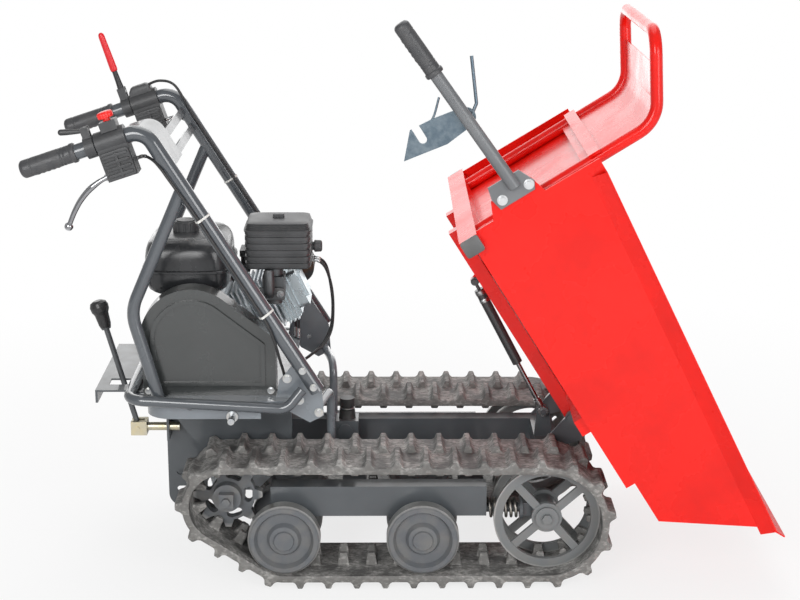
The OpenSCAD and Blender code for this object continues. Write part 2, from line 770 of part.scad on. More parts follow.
// Air filter: ribbed box with a snorkel side and a top clip
filter_low = [-342, -138, 648];
module air_filter() {
    size = [139, 124, 100];
    r = 14;
    color(black) translate(filter_low) {
        linear_extrude(size.z) {
            translate([r, 0]) square([size.x - 2 * r, size.y]);
            translate([0, r]) square([size.x, size.y - 2 * r]);
            for (x = [r, size.x - r], y = [r, size.y - r]) translate([x, y]) circle(r);
        }
        for (i = [0:7]) translate([20 + i * 13, -4, 16]) cube([5, 8, 70]);
        for (i = [0:6]) translate([size.x - 4, 20 + i * 13, 16]) cube([8, 5, 70]);
        translate([-3, -3, 42]) linear_extrude(6) {
            translate([r, 0]) square([size.x + 6 - 2 * r, size.y + 6]);
            translate([0, r]) square([size.x + 6, size.y + 6 - 2 * r]);
            for (x = [r, size.x + 6 - r], y = [r, size.y + 6 - r]) translate([x, y]) circle(r);
        }
        translate([size.x / 2 - 12, size.y / 2 - 8, size.z]) cube([24, 16, 8]);
    }
}

// Carburettor beside the head, its flange, and the elbow up to the air filter
module carburettor() {
    color(slate) {
        translate([-306, -128, 588]) cube([46, 56, 42]);
        pin([-283, 610], 15, -72.5, -64.2);
        translate([-283, -100, 630]) cylinder(h = 18 - side_gap, r = 20);
        translate([-283, -100, 568]) cylinder(h = 20, r = 17);
    }
}

// Muffler on the far side of the head, with its exhaust pipe and outlet
module muffler() {
    color(slate) {
        slab(78, 150) {
            translate([-295, 598]) circle(34);
            translate([-240, 598]) circle(34);
            translate([-295, 564]) square([55, 68]);
        }
        pin([-270, 585], 13, 64.2, 79);
        translate([-228, 128, 626]) cylinder(h = 26, r = 10);
    }
}

// Fan housing with the pull starter cover and its grip
module fan_housing() {
    color(black) {
        slab(95.2, 150) {
            translate(crank) circle(98);
            translate([crank.x - 98, engine_z + 14]) square([196, 100]);
        }
        pin(crank, 78, 149, 164);
        pin(crank, 62, 163, 172);
        pin([crank.x + 84, crank.y + 70], 13, 110, 140);
        translate([crank.x + 84, 125, crank.y + 70]) cylinder(h = 34, r = 9);
        translate([crank.x + 84 - 9, 96, crank.y + 104]) cube([18, 58, 14]);
    }
}

// Belt cover: deep pressed shell, open towards the engine
module belt_cover() {
    wall = 3;
    a = 52;
    module outline(i) {
        right = cover_right - i;
        slope_z = crank.y + 5 + ((cover_arc_r - i) - (right - crank.x) * cos(a)) / sin(a);
        translate(crank + [0, 5]) circle(cover_arc_r - i);
        polygon([[cover_left + i, tray_z + i], [cover_left + i, crank.y + 5], crank + [0, 5],
            crank + [0, 5] + (cover_arc_r - i) * facing(a), [right, slope_z], [right, tray_z + i]]);
    }
    color(black) {
        difference() {
            slab(cover_out, cover_in) outline(0);
            slab(cover_out + wall, cover_in + 1) outline(wall);
        }
        translate([cover_left - 6, cover_in - 22, tray_z]) cube([8, 22, 4]);
        translate([cover_right - 2, cover_in - 22, tray_z]) cube([12, 22, 4]);
        slab(cover_out - 5, cover_out + 1) difference() {
            outline(22);
            outline(30);
        }
    }
}

// Grooved pulley on its shaft
module pulley(r) {
    flange = 3;
    rotate_extrude() polygon([[0, -belt_half - flange - 2], [r + 2, -belt_half - flange - 2],
        [r + 2, -belt_half - 0.5], [r - belt_deep - move_gap, -belt_half - 0.5],
        [r - belt_deep - move_gap, belt_half + 0.5], [r + 2, belt_half + 0.5],
        [r + 2, belt_half + flange + 2], [0, belt_half + flange + 2]]);
}

module crank_pulley() {
    color(zinc) {
        translate([crank.x, belt_y, crank.y]) rotate([90, 0, 0]) pulley(crank_r);
        pin(crank, 9, belt_y, -75);
        pin(crank, 11, cover_out + 8, belt_y);
    }
}

module input_pulley() {
    color(zinc) {
        translate([input.x, belt_y, input.y]) rotate([90, 0, 0]) pulley(input_r);
        pin(input, 10, belt_y, -95);
        pin(input, 12, cover_out + 8, belt_y);
    }
}

// V-belt: two arcs and two straight runs round the pulleys
module drive_belt() {
    d = input - crank;
    a = atan2(d.y, d.x);
    module loop(lift) {
        s = acos((crank_r - input_r) / norm(d));
        translate(crank) circle(crank_r + lift);
        translate(input) circle(input_r + lift);
        polygon([crank + (crank_r + lift) * facing(a + s), crank + (crank_r + lift) * facing(a - s),
            input + (input_r + lift) * facing(a - s), input + (input_r + lift) * facing(a + s)]);
    }
    color(black) slab(belt_y - belt_half, belt_y + belt_half) difference() {
        loop(0);
        loop(-belt_deep);
    }
}

// Handle tube: grip section, one bend and the long leg down to the tray gusset
module handle_tube() {
    start = grip_end + 2.5 * facing(grip_slope);
    color(slate) tube_run([side(start, -handle_half), side(tube_bend, -handle_half),
        side(tube_foot, -handle_half)], tube_r, 40);
}

module handle_tube_near() { handle_tube(); }
module handle_tube_far() { mirror([0, 1, 0]) handle_tube(); }

// Rear struts from the handle legs to the tray
module handle_struts() {
    joint = tube_bend + 138 * tube_dir;
    color(slate) both() difference() {
        union() {
            tube_run([side(joint, -handle_half), [-566, -handle_half, 590], [-512, -handle_half, tray_z - 8]],
                strut_r, 90);
            bar([-512, -handle_half, tray_z], [-512, -handle_half, tray_z + 4], 15.5);
        }
        bar(side(tube_bend, -handle_half), side(tube_foot, -handle_half), tube_r + side_gap);
        translate([-600, -handle_half - 30, tray_z - 60]) cube([120, 60, 60]);
    }
}

// Console: bent sheet between the near leg and the middle, and two flat bars to the far leg
module console_panel() {
    t = 3;
    in = handle_half - tube_r - side_gap;
    along = [cos(grip_slope), 0, sin(grip_slope)];
    down = [tube_dir.x, 0, tube_dir.y];
    p = side(tube_bend, 0) + [0, 0, -4];
    housing_gap = 10;
    bend_r = 36;
    trim = bend_r * tan(acos(along * down) / 2);
    color(slate) {
        translate([0, (-in - 60) / 2, 0]) {
            bend_at(p, along, down, bend_r) square([t - 2 * lap_step, in - 60.2], center = true);
            translate(p - along * (trim - lap)) rotate([0, -grip_slope, 0])
                translate([-30, housing_gap - (in - 60) / 2, -t / 2]) cube([30, in - 60 - housing_gap, t]);
            translate(p + down * (trim - lap)) rotate([0, acos(down.x), 0])
                translate([0, -(in - 60) / 2, -t / 2]) cube([70, in - 60, t]);
        }
        for (s = [trim + 14, trim + 56]) translate(p + down * s) rotate([0, acos(down.x), 0])
            translate([-9, -62, -t / 2 - 4.5]) cube([18, in + 62, 5]);
    }
}

// Places its part on the grip axis: X along the grip from its free end, Z away from the tube
module on_grip() {
    translate([grip_end.x, -handle_half, grip_end.y]) rotate([0, -grip_slope, 0]) children();
}

module along_x(x0, x1, r) {
    translate([x0, 0, 0]) rotate([0, 90, 0]) cylinder(h = x1 - x0, r = r);
}

module grips() {
    color(black) both() on_grip() difference() {
        union() {
            along_x(-3, grip_len, grip_d / 2);
            along_x(grip_len - 8, grip_len, grip_d / 2 + 3);
        }
        along_x(2, grip_len + 1, tube_r + 0.1);
        for (i = [0:7]) translate([14 + 13 * i, 0, 0]) rotate([0, 90, 0]) rotate_extrude()
            translate([grip_d / 2 + 0.6, 0]) circle(1.6);
    }
}

// Control housings: clamp on the tube with a ribbed block below that holds the steering lever
lever_pivot = [174, -64];
housing_x = 160;
housing_len = 62;
lever_slot = 6.3;
module control_housings() {
    block_half = 22;
    bore = tube_r + 0.1;
    color(black) {
        both() on_grip() difference() {
            union() {
                along_x(housing_x, housing_x + housing_len, tube_r + 8);
                translate([housing_x, -block_half, -76]) cube([housing_len, 2 * block_half, 66]);
                for (i = [0:4]) translate([housing_x + 8 + i * 11, -block_half - 3, -70])
                    cube([5, 2 * block_half + 6, 52]);
            }
            along_x(housing_x - 1, housing_x + housing_len + 1, bore);
            translate([housing_x - 1, -lever_slot, -80]) cube([36, 2 * lever_slot, 42]);
        }
        both() on_grip() pin(lever_pivot, 4, -block_half, block_half);
        // Stop switch box on the near clamp, bored for the button stem
        on_grip() difference() {
            translate([stop_x - 17, -16, 20]) cube([34, 32, 20]);
            along_x(stop_x - 18, stop_x + 18, tube_r + 7);
            translate([stop_x, 0, 30]) cylinder(h = 11, r = 8 + run_fit);
        }
        // Throttle cheeks on a second near clamp
        on_grip() difference() {
            union() {
                along_x(throttle_pivot.x - 10, throttle_pivot.x + 10, tube_r + 6);
                for (y = [-10, 6.2]) translate([throttle_pivot.x - 8, y, 16]) cube([16, 3.8, 26]);
            }
            along_x(throttle_pivot.x - 11, throttle_pivot.x + 11, bore);
        }
        on_grip() pin(throttle_pivot, 3, -10, 10);
        // Clutch lever bracket on the far tube
        mirror([0, 1, 0]) on_grip() {
            difference() {
                union() {
                    along_x(clutch_pivot.x - 10, clutch_pivot.x + 10, tube_r + 6);
                    for (y = [-10, 6.2]) translate([clutch_pivot.x - 9, y, 16]) cube([18, 3.8, 30]);
                }
                along_x(clutch_pivot.x - 11, clutch_pivot.x + 11, bore);
            }
            pin(clutch_pivot, 4, -10, 10);
        }
    }
}

// Steering lever: curved round bar with a flat eye and a ball end
module steering_lever() {
    color(zinc) on_grip() difference() {
        union() {
            pin(lever_pivot, 10, -6, 6);
            tube_run([side(lever_pivot, 0), [134, 0, -71], [87, 0, -95], [47, 0, -137]], 5, 26);
            translate([47, 0, -137]) rotate([0, 0, 180]) sphere(9);
        }
        pin(lever_pivot, 4 + run_fit, -7, 7);
    }
}

module steering_lever_near() { steering_lever(); }
module steering_lever_far() { mirror([0, 1, 0]) steering_lever(); }

// Throttle lever on the near tube
throttle_pivot = [147, 34];
module throttle_lever() {
    color(black) on_grip() difference() {
        union() {
            pin(throttle_pivot, 8, -5.8, 5.8);
            bar(side(throttle_pivot, 0), [101, 0, 46], 4);
            translate([101, 0, 46]) rotate([0, 0, 180]) sphere(6.5);
        }
        pin(throttle_pivot, 3 + run_fit, -7, 7);
    }
}

// Mushroom stop button
stop_x = 196;
module stop_button() {
    color(skip_red) on_grip() translate([stop_x, 0, 0]) {
        translate([0, 0, 31 + 5]) cylinder(h = 16, r = 8);
        translate([0, 0, 46]) rotate_extrude() polygon([[0, 0], [15, 0], [16, 3], [15, 8], [9, 12], [0, 13]]);
    }
}

// Clutch lever with its red sleeve, standing up from the far tube
clutch_pivot = [148, 36];
module clutch_lever() {
    color(skip_red) mirror([0, 1, 0]) on_grip() difference() {
        union() {
            pin(clutch_pivot, 9, -5.8, 5.8);
            translate([clutch_pivot.x - 7, -3, clutch_pivot.y]) cube([14, 6, 56]);
            translate([clutch_pivot.x, 0, clutch_pivot.y + 50]) {
                cylinder(h = 82, r = 8.5);
                translate([0, 0, 82]) sphere(8.5);
            }
        }
        pin(clutch_pivot, 4 + run_fit, -7, 7);
    }
}

// Control cables, held along the handle legs and led under the tank and through the tray
cable_r = 3;
cable_y = handle_half - tube_r - cable_r - 1;
steer_route = [[-543, -cable_y - 1.2, 904.2], [-528, -cable_y, 908], [-505, -cable_y, 897],
    [-478, -cable_y, 862], [-447, -cable_y, 828], [-395, -cable_y, 750], [-342, -cable_y, 665],
    [-300, -cable_y, 595], [-273, 1 - cable_y, 535], [-262, 7 - cable_y, 482], [-257, 20 - cable_y, 440],
    [-256, 32 - cable_y, tray_z + 1.4]];
clutch_route = [[-623, handle_half, 965], [-588, handle_half, 979], [-555, handle_half - 8, 991],
    [-520, cable_y, 982], [-490, cable_y, 930], [-467, cable_y, 892], [-433, cable_y, 838],
    [-383, cable_y, 757], [-330, cable_y, 672], [-290, cable_y - 1, 606], [-262, cable_y - 4, 540],
    [-252, cable_y - 12, 486], [-249, cable_y - 26, 440], [-249, cable_y - 42, tray_z + 1.6]];
loop_route_a = [[-202.6, -60, 656], [-190, -60, 655], [-175, -46, 636], [-167, -20, 590], [-163, 0, 535],
    [-168, 10, 482], [-186, 6, 444], [-210, -10, 424], [-236, -36, 412], [-250, -50, tray_z + 3.4]];
loop_route_b = [[-202.6, -84, 656], [-190, -84, 655], [-174, -72, 634], [-163, -46, 585], [-161, -26, 530],
    [-166, -18, 482], [-184, -26, 450], [-208, -46, 436], [-236, -72, 420], [-250, -86, tray_z + 2.6]];
module control_cables() {
    color(black) {
        cable(smooth_route(steer_route, 3), cable_r);
        mirror([0, 1, 0]) cable(smooth_route(steer_route, 3), cable_r);
        cable(smooth_route(clutch_route, 3), cable_r);
        cable(smooth_route(loop_route_a, 4), cable_r);
        cable(smooth_route(loop_route_b, 4), cable_r);
    }
}

// Gate plate behind the tray, with a plain window that the gear lever moves in
module gate_plate() {
    back = -661;
    half = 170;
    rise = gate_z + 2.5 - shift_pivot.z;
    slot_w = 22;
    row = 20.1;
    mid = shift_pivot.x - rise * tan(lever_lean);
    reach = 27;
    color(slate) difference() {
        union() {
            translate([back, -half, gate_z]) cube([tray_rear - side_gap - back, 2 * half, plate_t - 1]);
            translate([back, -half, gate_z - 24]) cube([plate_t, 2 * half, 25]);
        }
        translate([mid - reach, shift_pivot.y - row - slot_w / 2, gate_z - 1])
            cube([2 * reach, row + slot_w, plate_t + 2]);
    }
}

// Shift shaft through the skirt, with the fork that carries the gear lever
module shift_shaft() {
    color(zinc) translate(shift_pivot) {
        rotate([0, 90, 0]) translate([0, 0, 16]) cylinder(h = 74, r = 9);
        translate([14, 0, 0]) rotate([0, 90, 0]) cylinder(h = 6, r = 15);
        difference() {
            translate([-14, -18, -15]) cube([34, 36, 30]);
            translate([-16, -7, -16]) cube([30, 14, 32]);
        }
        rotate([90, 0, 0]) cylinder(h = 40, r = 5, center = true);
    }
}

// Gear lever: rod with an eye at the fork, and a ribbed knob
module gear_lever() {
    rod_len = 236;
    color(black) translate(shift_pivot) rotate([0, -lever_lean, 0]) difference() {
        union() {
            rotate([90, 0, 0]) cylinder(h = 13, r = 11, center = true);
            cylinder(h = rod_len, r = 6);
            translate([0, 0, rod_len - 8]) rotate_extrude() polygon([[0, 0], [10, 0], [13, 10], [15, 34],
                [19, 42], [20, 52], [17, 60], [9, 64], [0, 64]]);
        }
        rotate([90, 0, 0]) cylinder(h = 20, r = 5 + run_fit, center = true);
    }
}

// Moves its part into the tipped skip
module on_skip() {
    translate([hinge_x, 0, hinge_z]) rotate([0, tip_angle, 0]) children();
}

// Skip tub: welded sheet with sloping front, outward rims, rear corners and the lever tab
module skip_tub() {
    half = skip_w / 2;
    low = floor_h;
    wall_len = norm([front_run, front_h]);
    step = sheet_t * (1 - front_run / wall_len) * wall_len / front_h;
    inner_x = floor_front - sheet_t * front_h / wall_len + step * front_run / wall_len;
    over = 80;
    front_top = [floor_front + front_run, low + front_h];
    rear_top = [-floor_back, low + rear_h];
    lip = facing(27);
    lip_down = facing(-63);
    color(skip_red) on_skip() {
        difference() {
            slab(-half, half) polygon([[-floor_back, low], [floor_front, low], front_top, rear_top]);
            slab(-half + sheet_t, half - sheet_t) polygon([[-floor_back + sheet_t, low + sheet_t],
                [inner_x, low + sheet_t],
                [inner_x + (front_h + over) * front_run / front_h, low + sheet_t + front_h + over],
                [-floor_back + sheet_t, low + rear_h + over]]);
        }
        both() slab(-half, -half + sheet_t)
            polygon([[-floor_back, low], [-corner_back, low], [-corner_back + 3, low + rear_h], rear_top]);
        slab(-half, -half + sheet_t) polygon([[-corner_back, low + 40], [-548, low + 56], [-548, low + 148],
            [-floor_back, low + 166], [-floor_back, low + 40]]);
        both() slab(-half - rim_w, -half + sheet_t) polygon([rear_top, front_top, front_top - [0, sheet_t],
            rear_top - [0, sheet_t]]);
        slab(-half - rim_w, half + rim_w) polygon([front_top, front_top + 20 * lip,
            front_top + 20 * lip + sheet_t * lip_down, front_top + sheet_t * lip_down + 2 * lip,
            front_top - 8 * [front_run, front_h] / wall_len, front_top - [4, 2]]);
    }
}

// Underframe of the skip: hinge rails, cross members, side strips and the strut lug
module skip_underframe() {
    top = floor_h - cross_deep;
    color(skip_red) on_skip() {
        difference() {
            union() {
                translate([-corner_back - 1, -cross_len / 2, top]) cube([36, cross_len, cross_deep]);
                translate([-60, -300, top]) cube([36, 600, cross_deep]);
                both() slab(-rail_in - hinge_rail_w, -rail_in) {
                    translate([-490, hinge_rail_low]) square([490, top - hinge_rail_low]);
                    circle(-hinge_rail_low);
                }
                both() translate([-corner_back + 38, -skip_w / 2, floor_h - 20]) cube([592, 20, 20]);
            }
            pin([0, 0], pin_r + run_fit, -200, 200);
        }
        slab(strut_y + 4 + move_gap, strut_y + 11) {
            polygon([[-410, floor_h], [-352, floor_h], strut_lug + [9, 0], strut_lug - [9, 0]]);
            translate(strut_lug) circle(9);
        }
    }
}

// Loop handle of the skip with the curved back sheet between its legs and a flat strap
module loop_handle() {
    a = [0, 0, 1];
    b = unit([loop_top.x - loop_bend.x, 0, loop_top.y - loop_bend.y]);
    bend_r = 70;
    trim = bend_r * tan(acos(a * b) / 2);
    corner = side(loop_bend, 0);
    sheet_half = loop_half - loop_d / 2 - side_gap;
    in = 2 * sheet_half;
    rise = 70;
    color(skip_red) on_skip() {
        for (m = [0, 1]) mirror([0, m, 0]) {
            bar([-leg_u, -loop_half, floor_h], side(loop_bend, -loop_half) - a * (trim - lap), loop_d / 2);
            bend_at(side(loop_bend, -loop_half), a, b, bend_r) circle(loop_d / 2 - lap_step);
        }
        tube_run([side(loop_bend, -loop_half) + b * (trim - lap), side(loop_top, -loop_half),
            side(loop_top, loop_half), side(loop_bend, loop_half) + b * (trim - lap)], loop_d / 2, 45);
        translate([-leg_u - sheet_t / 2, -sheet_half, 300])
            cube([sheet_t, in, loop_bend.y - trim + lap - 300]);
        bend_at(corner, a, b, bend_r) square([sheet_t - 2 * lap_step, in - 2], center = true);
        translate(corner + b * (trim - lap)) rotate([0, -acos(a * b), 0])
            translate([-sheet_t / 2, -sheet_half, 0]) cube([sheet_t, in, rise]);
        translate([-leg_u - loop_d / 2 - 4, -loop_half - 20, 318]) cube([6, 2 * loop_half + 40, 26]);
    }
}

// Tip lever: tube on a bolted plate, with the pivot pin of the latch hook
module tip_lever() {
    r = lever_d / 2;
    out = -skip_w / 2;
    head_y = lever_y + 22;
    color(slate) on_skip() {
        bar(side(lever_start, lever_y), side(lever_end, lever_y), r);
        slab(out - 6, out)
            polygon([[-575, 118], [-550, 112], [-524, 118], [-524, 196], [-540, 204], [-574, 188]]);
        pin(hook_pivot, hook_pin_r, lever_y, head_y + 3);
        pin(hook_pivot, hook_pin_r + 4, head_y, head_y + 3);
        for (p = [[-539, 130], [-539, 191]]) translate([p.x, out - 6, p.y]) hex_bolt(5);
    }
}

module lever_grip() {
    d = unit(lever_end - lever_start);
    r = lever_d / 2;
    p0 = lever_end - 118 * d;
    p1 = lever_end + 3 * d;
    color(black) on_skip() difference() {
        bar(side(p0, lever_y), side(p1, lever_y), r + 3.5);
        bar(side(p0 - 2 * d, lever_y), side(lever_end + 0.3 * d, lever_y), r + 0.1);
    }
}

// Latch hook: plate with a rear-facing jaw and the bent release rod, turning on the tip lever's pin
module latch_hook() {
    y0 = lever_y + lever_d / 2 + 2;
    y1 = y0 + 5;
    color(zinc) on_skip() difference() {
        union() {
            slab(y0, y1) difference() {
                union() {
                    polygon([[-706, 6], [-752, 48], [-748, 96], [-736, 160], [-696, 160], [-690, 96]]);
                    translate(hook_pivot) circle(19);
                }
                translate(hook_slot) circle(stud_r + 1.2);
                translate(hook_slot - [60, stud_r + 1.2]) square([60, 2 * stud_r + 2.4]);
            }
            tube_run([[-712, (y0 + y1) / 2, 164], [-728, (y0 + y1) / 2, 186],
                [-812, (y0 + y1) / 2, 226]], 3.4, 8);
        }
        pin(hook_pivot, hook_pin_r + run_fit, y0 - 1, y1 + 1);
    }
}

// Gas strut cylinder with its upper eye, and the rod with its lower eye
module on_strut() {
    translate([strut_low.x, strut_y, strut_low.y]) rotate([0, -strut_tilt, 0]) children();
}

module strut_cylinder() {
    start = 126;
    neck_r = 3.7;
    color(black) on_strut() difference() {
        union() {
            along_x(start, strut_len - 20, strut_d / 2);
            along_x(strut_len - 21, strut_len - 4, neck_r);
            translate([strut_len, 0, 0]) rotate([90, 0, 0]) cylinder(h = 8, r = 9, center = true);
            translate([strut_len, -4, 0]) rotate([90, 0, 0]) cylinder(h = 5, r = 6, $fn = 6);
        }
        along_x(start - 1, strut_len - 60, rod_r + run_fit);
    }
}

module strut_rod() {
    color(zinc) on_strut() difference() {
        union() {
            along_x(8, 210, rod_r);
            rotate([90, 0, 0]) cylinder(h = 12, r = 11, center = true);
        }
        rotate([90, 0, 0]) cylinder(h = 14, r = rod_pin_r + run_fit, center = true);
    }
}

// Hexagon bolt heads with washers, and the latch stud on the guard rail
module hex_bolt(r) {
    rotate([90, 0, 0]) {
        cylinder(h = 2, r = r * 1.9);
        translate([0, 0, 2]) cylinder(h = 6, r = r * 1.5, $fn = 6);
    }
}

module fasteners() {
    gusset_out = -handle_half + tube_r + side_gap;
    cover_face = cover_out - side_gap;
    color(zinc) {
        both() for (p = [[-251, 441], [-226, 394], [-186, 367]])
            translate([p.x, gusset_out, p.y]) hex_bolt(5);
        both() for (t = [56, 14]) translate(side(tube_foot - t * tube_dir, -handle_half - tube_r - side_gap))
            hex_bolt(4);
        for (x = [cover_left + 11, cover_right - 11]) translate([x, cover_face, tray_z + 11]) hex_bolt(4);
        pin([hinge_x + hook_slot.x, hinge_z + hook_slot.y], stud_r, lever_y + lever_d / 2 + 8, -tray_w / 2);
        pin([hinge_x + hook_slot.x, hinge_z + hook_slot.y], stud_r + 5, -tray_w / 2 - 4, -tray_w / 2);
    }
}

frame_rails();
cross_tubes();
hinge_towers();
rear_skirt();
track_frame_near();
track_frame_far();
idler_yokes();
tension_springs();
track_near();
track_far();
sprocket_near();
sprocket_far();
idler_near();
idler_far();
roller_near_rear();
roller_near_front();
roller_far_rear();
roller_far_front();
gearbox();
engine_tray();
guard_rail();
fasteners();
crankcase();
cylinder_barrel();
cylinder_head();
spark_plug();
fuel_tank();
fuel_cap();
air_filter();
carburettor();
muffler();
fan_housing();
belt_cover();
crank_pulley();
input_pulley();
drive_belt();
handle_tube_near();
handle_tube_far();
handle_struts();
console_panel();
grips();
control_housings();
steering_lever_near();
steering_lever_far();
throttle_lever();
stop_button();
clutch_lever();
control_cables();
gate_plate();
shift_shaft();
gear_lever();
buffer();
skip_tub();
skip_underframe();
loop_handle();
tip_lever();
lever_grip();
latch_hook();
strut_cylinder();
strut_rod();
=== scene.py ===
import math

import bmesh
import bpy
import numpy as np
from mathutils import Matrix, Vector


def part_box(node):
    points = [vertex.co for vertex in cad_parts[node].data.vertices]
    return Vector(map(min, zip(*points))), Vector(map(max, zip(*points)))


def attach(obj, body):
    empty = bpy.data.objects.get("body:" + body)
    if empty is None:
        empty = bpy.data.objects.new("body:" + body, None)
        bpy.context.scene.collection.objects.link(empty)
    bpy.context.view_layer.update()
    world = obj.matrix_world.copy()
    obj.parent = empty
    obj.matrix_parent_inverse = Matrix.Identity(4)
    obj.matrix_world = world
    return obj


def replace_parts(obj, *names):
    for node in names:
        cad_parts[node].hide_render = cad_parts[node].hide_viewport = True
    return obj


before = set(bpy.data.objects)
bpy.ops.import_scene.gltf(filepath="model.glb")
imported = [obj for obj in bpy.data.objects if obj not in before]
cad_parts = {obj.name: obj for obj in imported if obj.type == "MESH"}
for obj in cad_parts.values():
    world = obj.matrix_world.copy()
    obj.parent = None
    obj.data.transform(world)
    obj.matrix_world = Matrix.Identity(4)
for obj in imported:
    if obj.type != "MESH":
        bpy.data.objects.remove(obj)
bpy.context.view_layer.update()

# Welded chassis: rails, towers, skirts, track beams, engine tray, guard rail, handles and gate plate.
# Folded sheet and steel tube, sprayed in satin slate enamel.
# Dust settles on the upward faces and the enamel is scuffed in fine lines.


class Sock:
    """One output socket of a node tree. Arithmetic on it adds Math nodes to the same tree."""

    def __init__(self, tree, socket):
        self.tree = tree
        self.socket = socket

    def add(self, kind, settings, inputs, out=0):
        """Adds a node: its settings first, then the values or links of its sockets, and wraps one output."""
        made = self.tree.nodes.new(kind)
        for key, value in settings.items():
            setattr(made, key, value)
        for key, value in inputs.items():
            if isinstance(value, Sock):
                self.tree.links.new(value.socket, made.inputs[key])
            else:
                made.inputs[key].default_value = value
        return Sock(self.tree, made.outputs[out])

    def math(self, operation, first, second):
        """Adds a Math node on two values, each a socket or a number."""
        return self.add("ShaderNodeMath", {"operation": operation}, {0: first, 1: second})

    def __add__(self, other):
        return self.math("ADD", self, other)

    def __radd__(self, other):
        return self.math("ADD", other, self)

    def __sub__(self, other):
        return self.math("SUBTRACT", self, other)

    def __rsub__(self, other):
        return self.math("SUBTRACT", other, self)

    def __mul__(self, other):
        return self.math("MULTIPLY", self, other)

    def __rmul__(self, other):
        return self.math("MULTIPLY", other, self)

    def __pow__(self, other):
        return self.math("POWER", self, other)


def new_finish(name):
    """An empty material, and the piece's own coordinates in metres."""
    material = bpy.data.materials.new(name)
    material.use_nodes = True
    tree = material.node_tree
    coords = tree.nodes.new("ShaderNodeTexCoord")
    return material, Sock(tree, coords.outputs["Object"])


def facing(place, axis):
    """The part of the surface's own normal along X, Y or Z, from -1 to 1."""
    normal = place.add("ShaderNodeTexCoord", {}, {}, "Normal")
    return normal.add("ShaderNodeSeparateXYZ", {}, {0: normal}, axis)


def noise(place, scale, detail=4.0, roughness=0.55):
    """Soft random clouds between 0 and 1, smaller as the scale grows."""
    return place.add("ShaderNodeTexNoise", {},
                     {"Vector": place, "Scale": scale, "Detail": detail, "Roughness": roughness})


def stretched(place, scale):
    """Coordinates scaled differently along each axis, for drawn or scratched grain."""
    return place.add("ShaderNodeVectorMath", {"operation": "MULTIPLY"}, {0: place, 1: scale})


def between(value, low, high):
    """0 below low, 1 above high and straight between them."""
    return value.add("ShaderNodeMapRange", {"clamp": True},
                     {"Value": value, "From Min": low, "From Max": high})


def blend_colour(share, first, second):
    """From the first colour to the second by a share of 0 to 1; each is a socket or three numbers."""
    first, second = (c if isinstance(c, Sock) else (*c, 1.0) for c in (first, second))
    return share.add("ShaderNodeMix", {"data_type": "RGBA"}, {0: share, 6: first, 7: second}, 2)


def bump(height, strength, distance):
    """Relief from a height, as the surface's normal."""
    return height.add("ShaderNodeBump", {}, {"Height": height, "Strength": strength, "Distance": distance})


def wire(material, **sockets):
    """Sets plain values on the shader's own sockets and links those that vary over the surface."""
    shader = material.node_tree.nodes["Principled BSDF"]
    for name, value in sockets.items():
        socket = shader.inputs[name.replace("_", " ")]
        if isinstance(value, Sock):
            value.tree.links.new(value.socket, socket)
        else:
            socket.default_value = value
    return material


def enamel(name, colour, dust, dust_share, gloss, coat, scuff=0.18, shine=0.5):
    """Sprayed paint: cloudy tone, dust on upward faces, fine scuffs that dull it, and orange-peel relief."""
    material, place = new_finish(name)
    tone = noise(place, 9.0)
    paint = blend_colour(between(tone, 0.35, 0.68), [0.84 * c for c in colour], colour)
    settled = between(facing(place, "Z"), 0.35, 1.0) * between(noise(place, 38.0), 0.38, 0.72) * dust_share
    scuffs = between(noise(stretched(place, (60.0, 60.0, 420.0)), 3.0, 6.0), 0.66, 0.74)
    return wire(
        material,
        Base_Color=blend_colour(scuffs * scuff, blend_colour(settled, paint, dust), dust),
        Roughness=gloss + 0.14 * between(tone, 0.4, 0.7) + settled * 0.4 + scuffs * 0.12,
        Coat_Weight=coat * (1.0 - settled),
        Coat_Roughness=0.10,
        Specular_IOR_Level=shine,
        Normal=bump(noise(place, 620.0, 2.0), 0.05, 0.00015))


def dress(material, *names):
    """Puts a finish on the CAD nodes of these names."""
    for name in names:
        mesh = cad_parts[name].data
        mesh.materials.clear()
        mesh.materials.append(material)


road_dust = (0.30, 0.275, 0.24)
slate = enamel("slate_enamel", (0.090, 0.100, 0.109), road_dust, 0.22, 0.28, 0.45)
dress(slate, "frame_rails", "cross_tubes", "hinge_towers", "rear_skirt", "track_frame_near",
      "track_frame_far", "idler_yokes", "console_panel", "gate_plate")
# The engine tray wears a lighter copy of the slate enamel. The extra lightness is painted light: a sheen for
# the bright room its top mirrors, and lifted shade under the guard rail.
dress(enamel("tray_enamel_painted_sheen", (0.196, 0.218, 0.240), road_dust, 0.14, 0.18, 0.7, 0.10), "engine_tray")
dress(enamel("tube_enamel", (0.086, 0.096, 0.108), road_dust, 0.08, 0.16, 0.8, 0.06),
      "guard_rail", "handle_tube_near", "handle_tube_far", "handle_struts")

# Wheels: toothed sprockets, four-spoke idlers and dished double rollers, welded and painted in slate.
# The belt has polished their rims towards bare steel, and dry soil dulls the dished faces.


def worn_wheel(name, centres, rim_from, rim_to, colour):
    """Slate enamel that turns to bare grey steel where the belt rubs, by distance from the nearest axle."""
    material, place = new_finish(name)
    x = place.add("ShaderNodeSeparateXYZ", {}, {0: place}, "X")
    z = place.add("ShaderNodeSeparateXYZ", {}, {0: place}, "Z")
    reach = [((x - cx) ** 2.0 + (z - cz) ** 2.0) ** 0.5 for cx, cz in centres]
    nearest = reach[0] if len(reach) == 1 else reach[0].math("MINIMUM", reach[0], reach[1])
    blotch = noise(place, 55.0)
    bare = between(nearest + (blotch - 0.5) * 0.004, rim_from, rim_to)
    mud = between(noise(place, 24.0), 0.42, 0.66) * (1.0 - bare) * 0.40
    paint = blend_colour(mud, colour, (0.225, 0.212, 0.190))
    return wire(
        material,
        Base_Color=blend_colour(bare, paint, (0.50, 0.495, 0.48)),
        Metallic=bare * 0.8,
        Roughness=0.36 + mud * 0.6,
        Normal=bump(blotch, 0.10, 0.001))


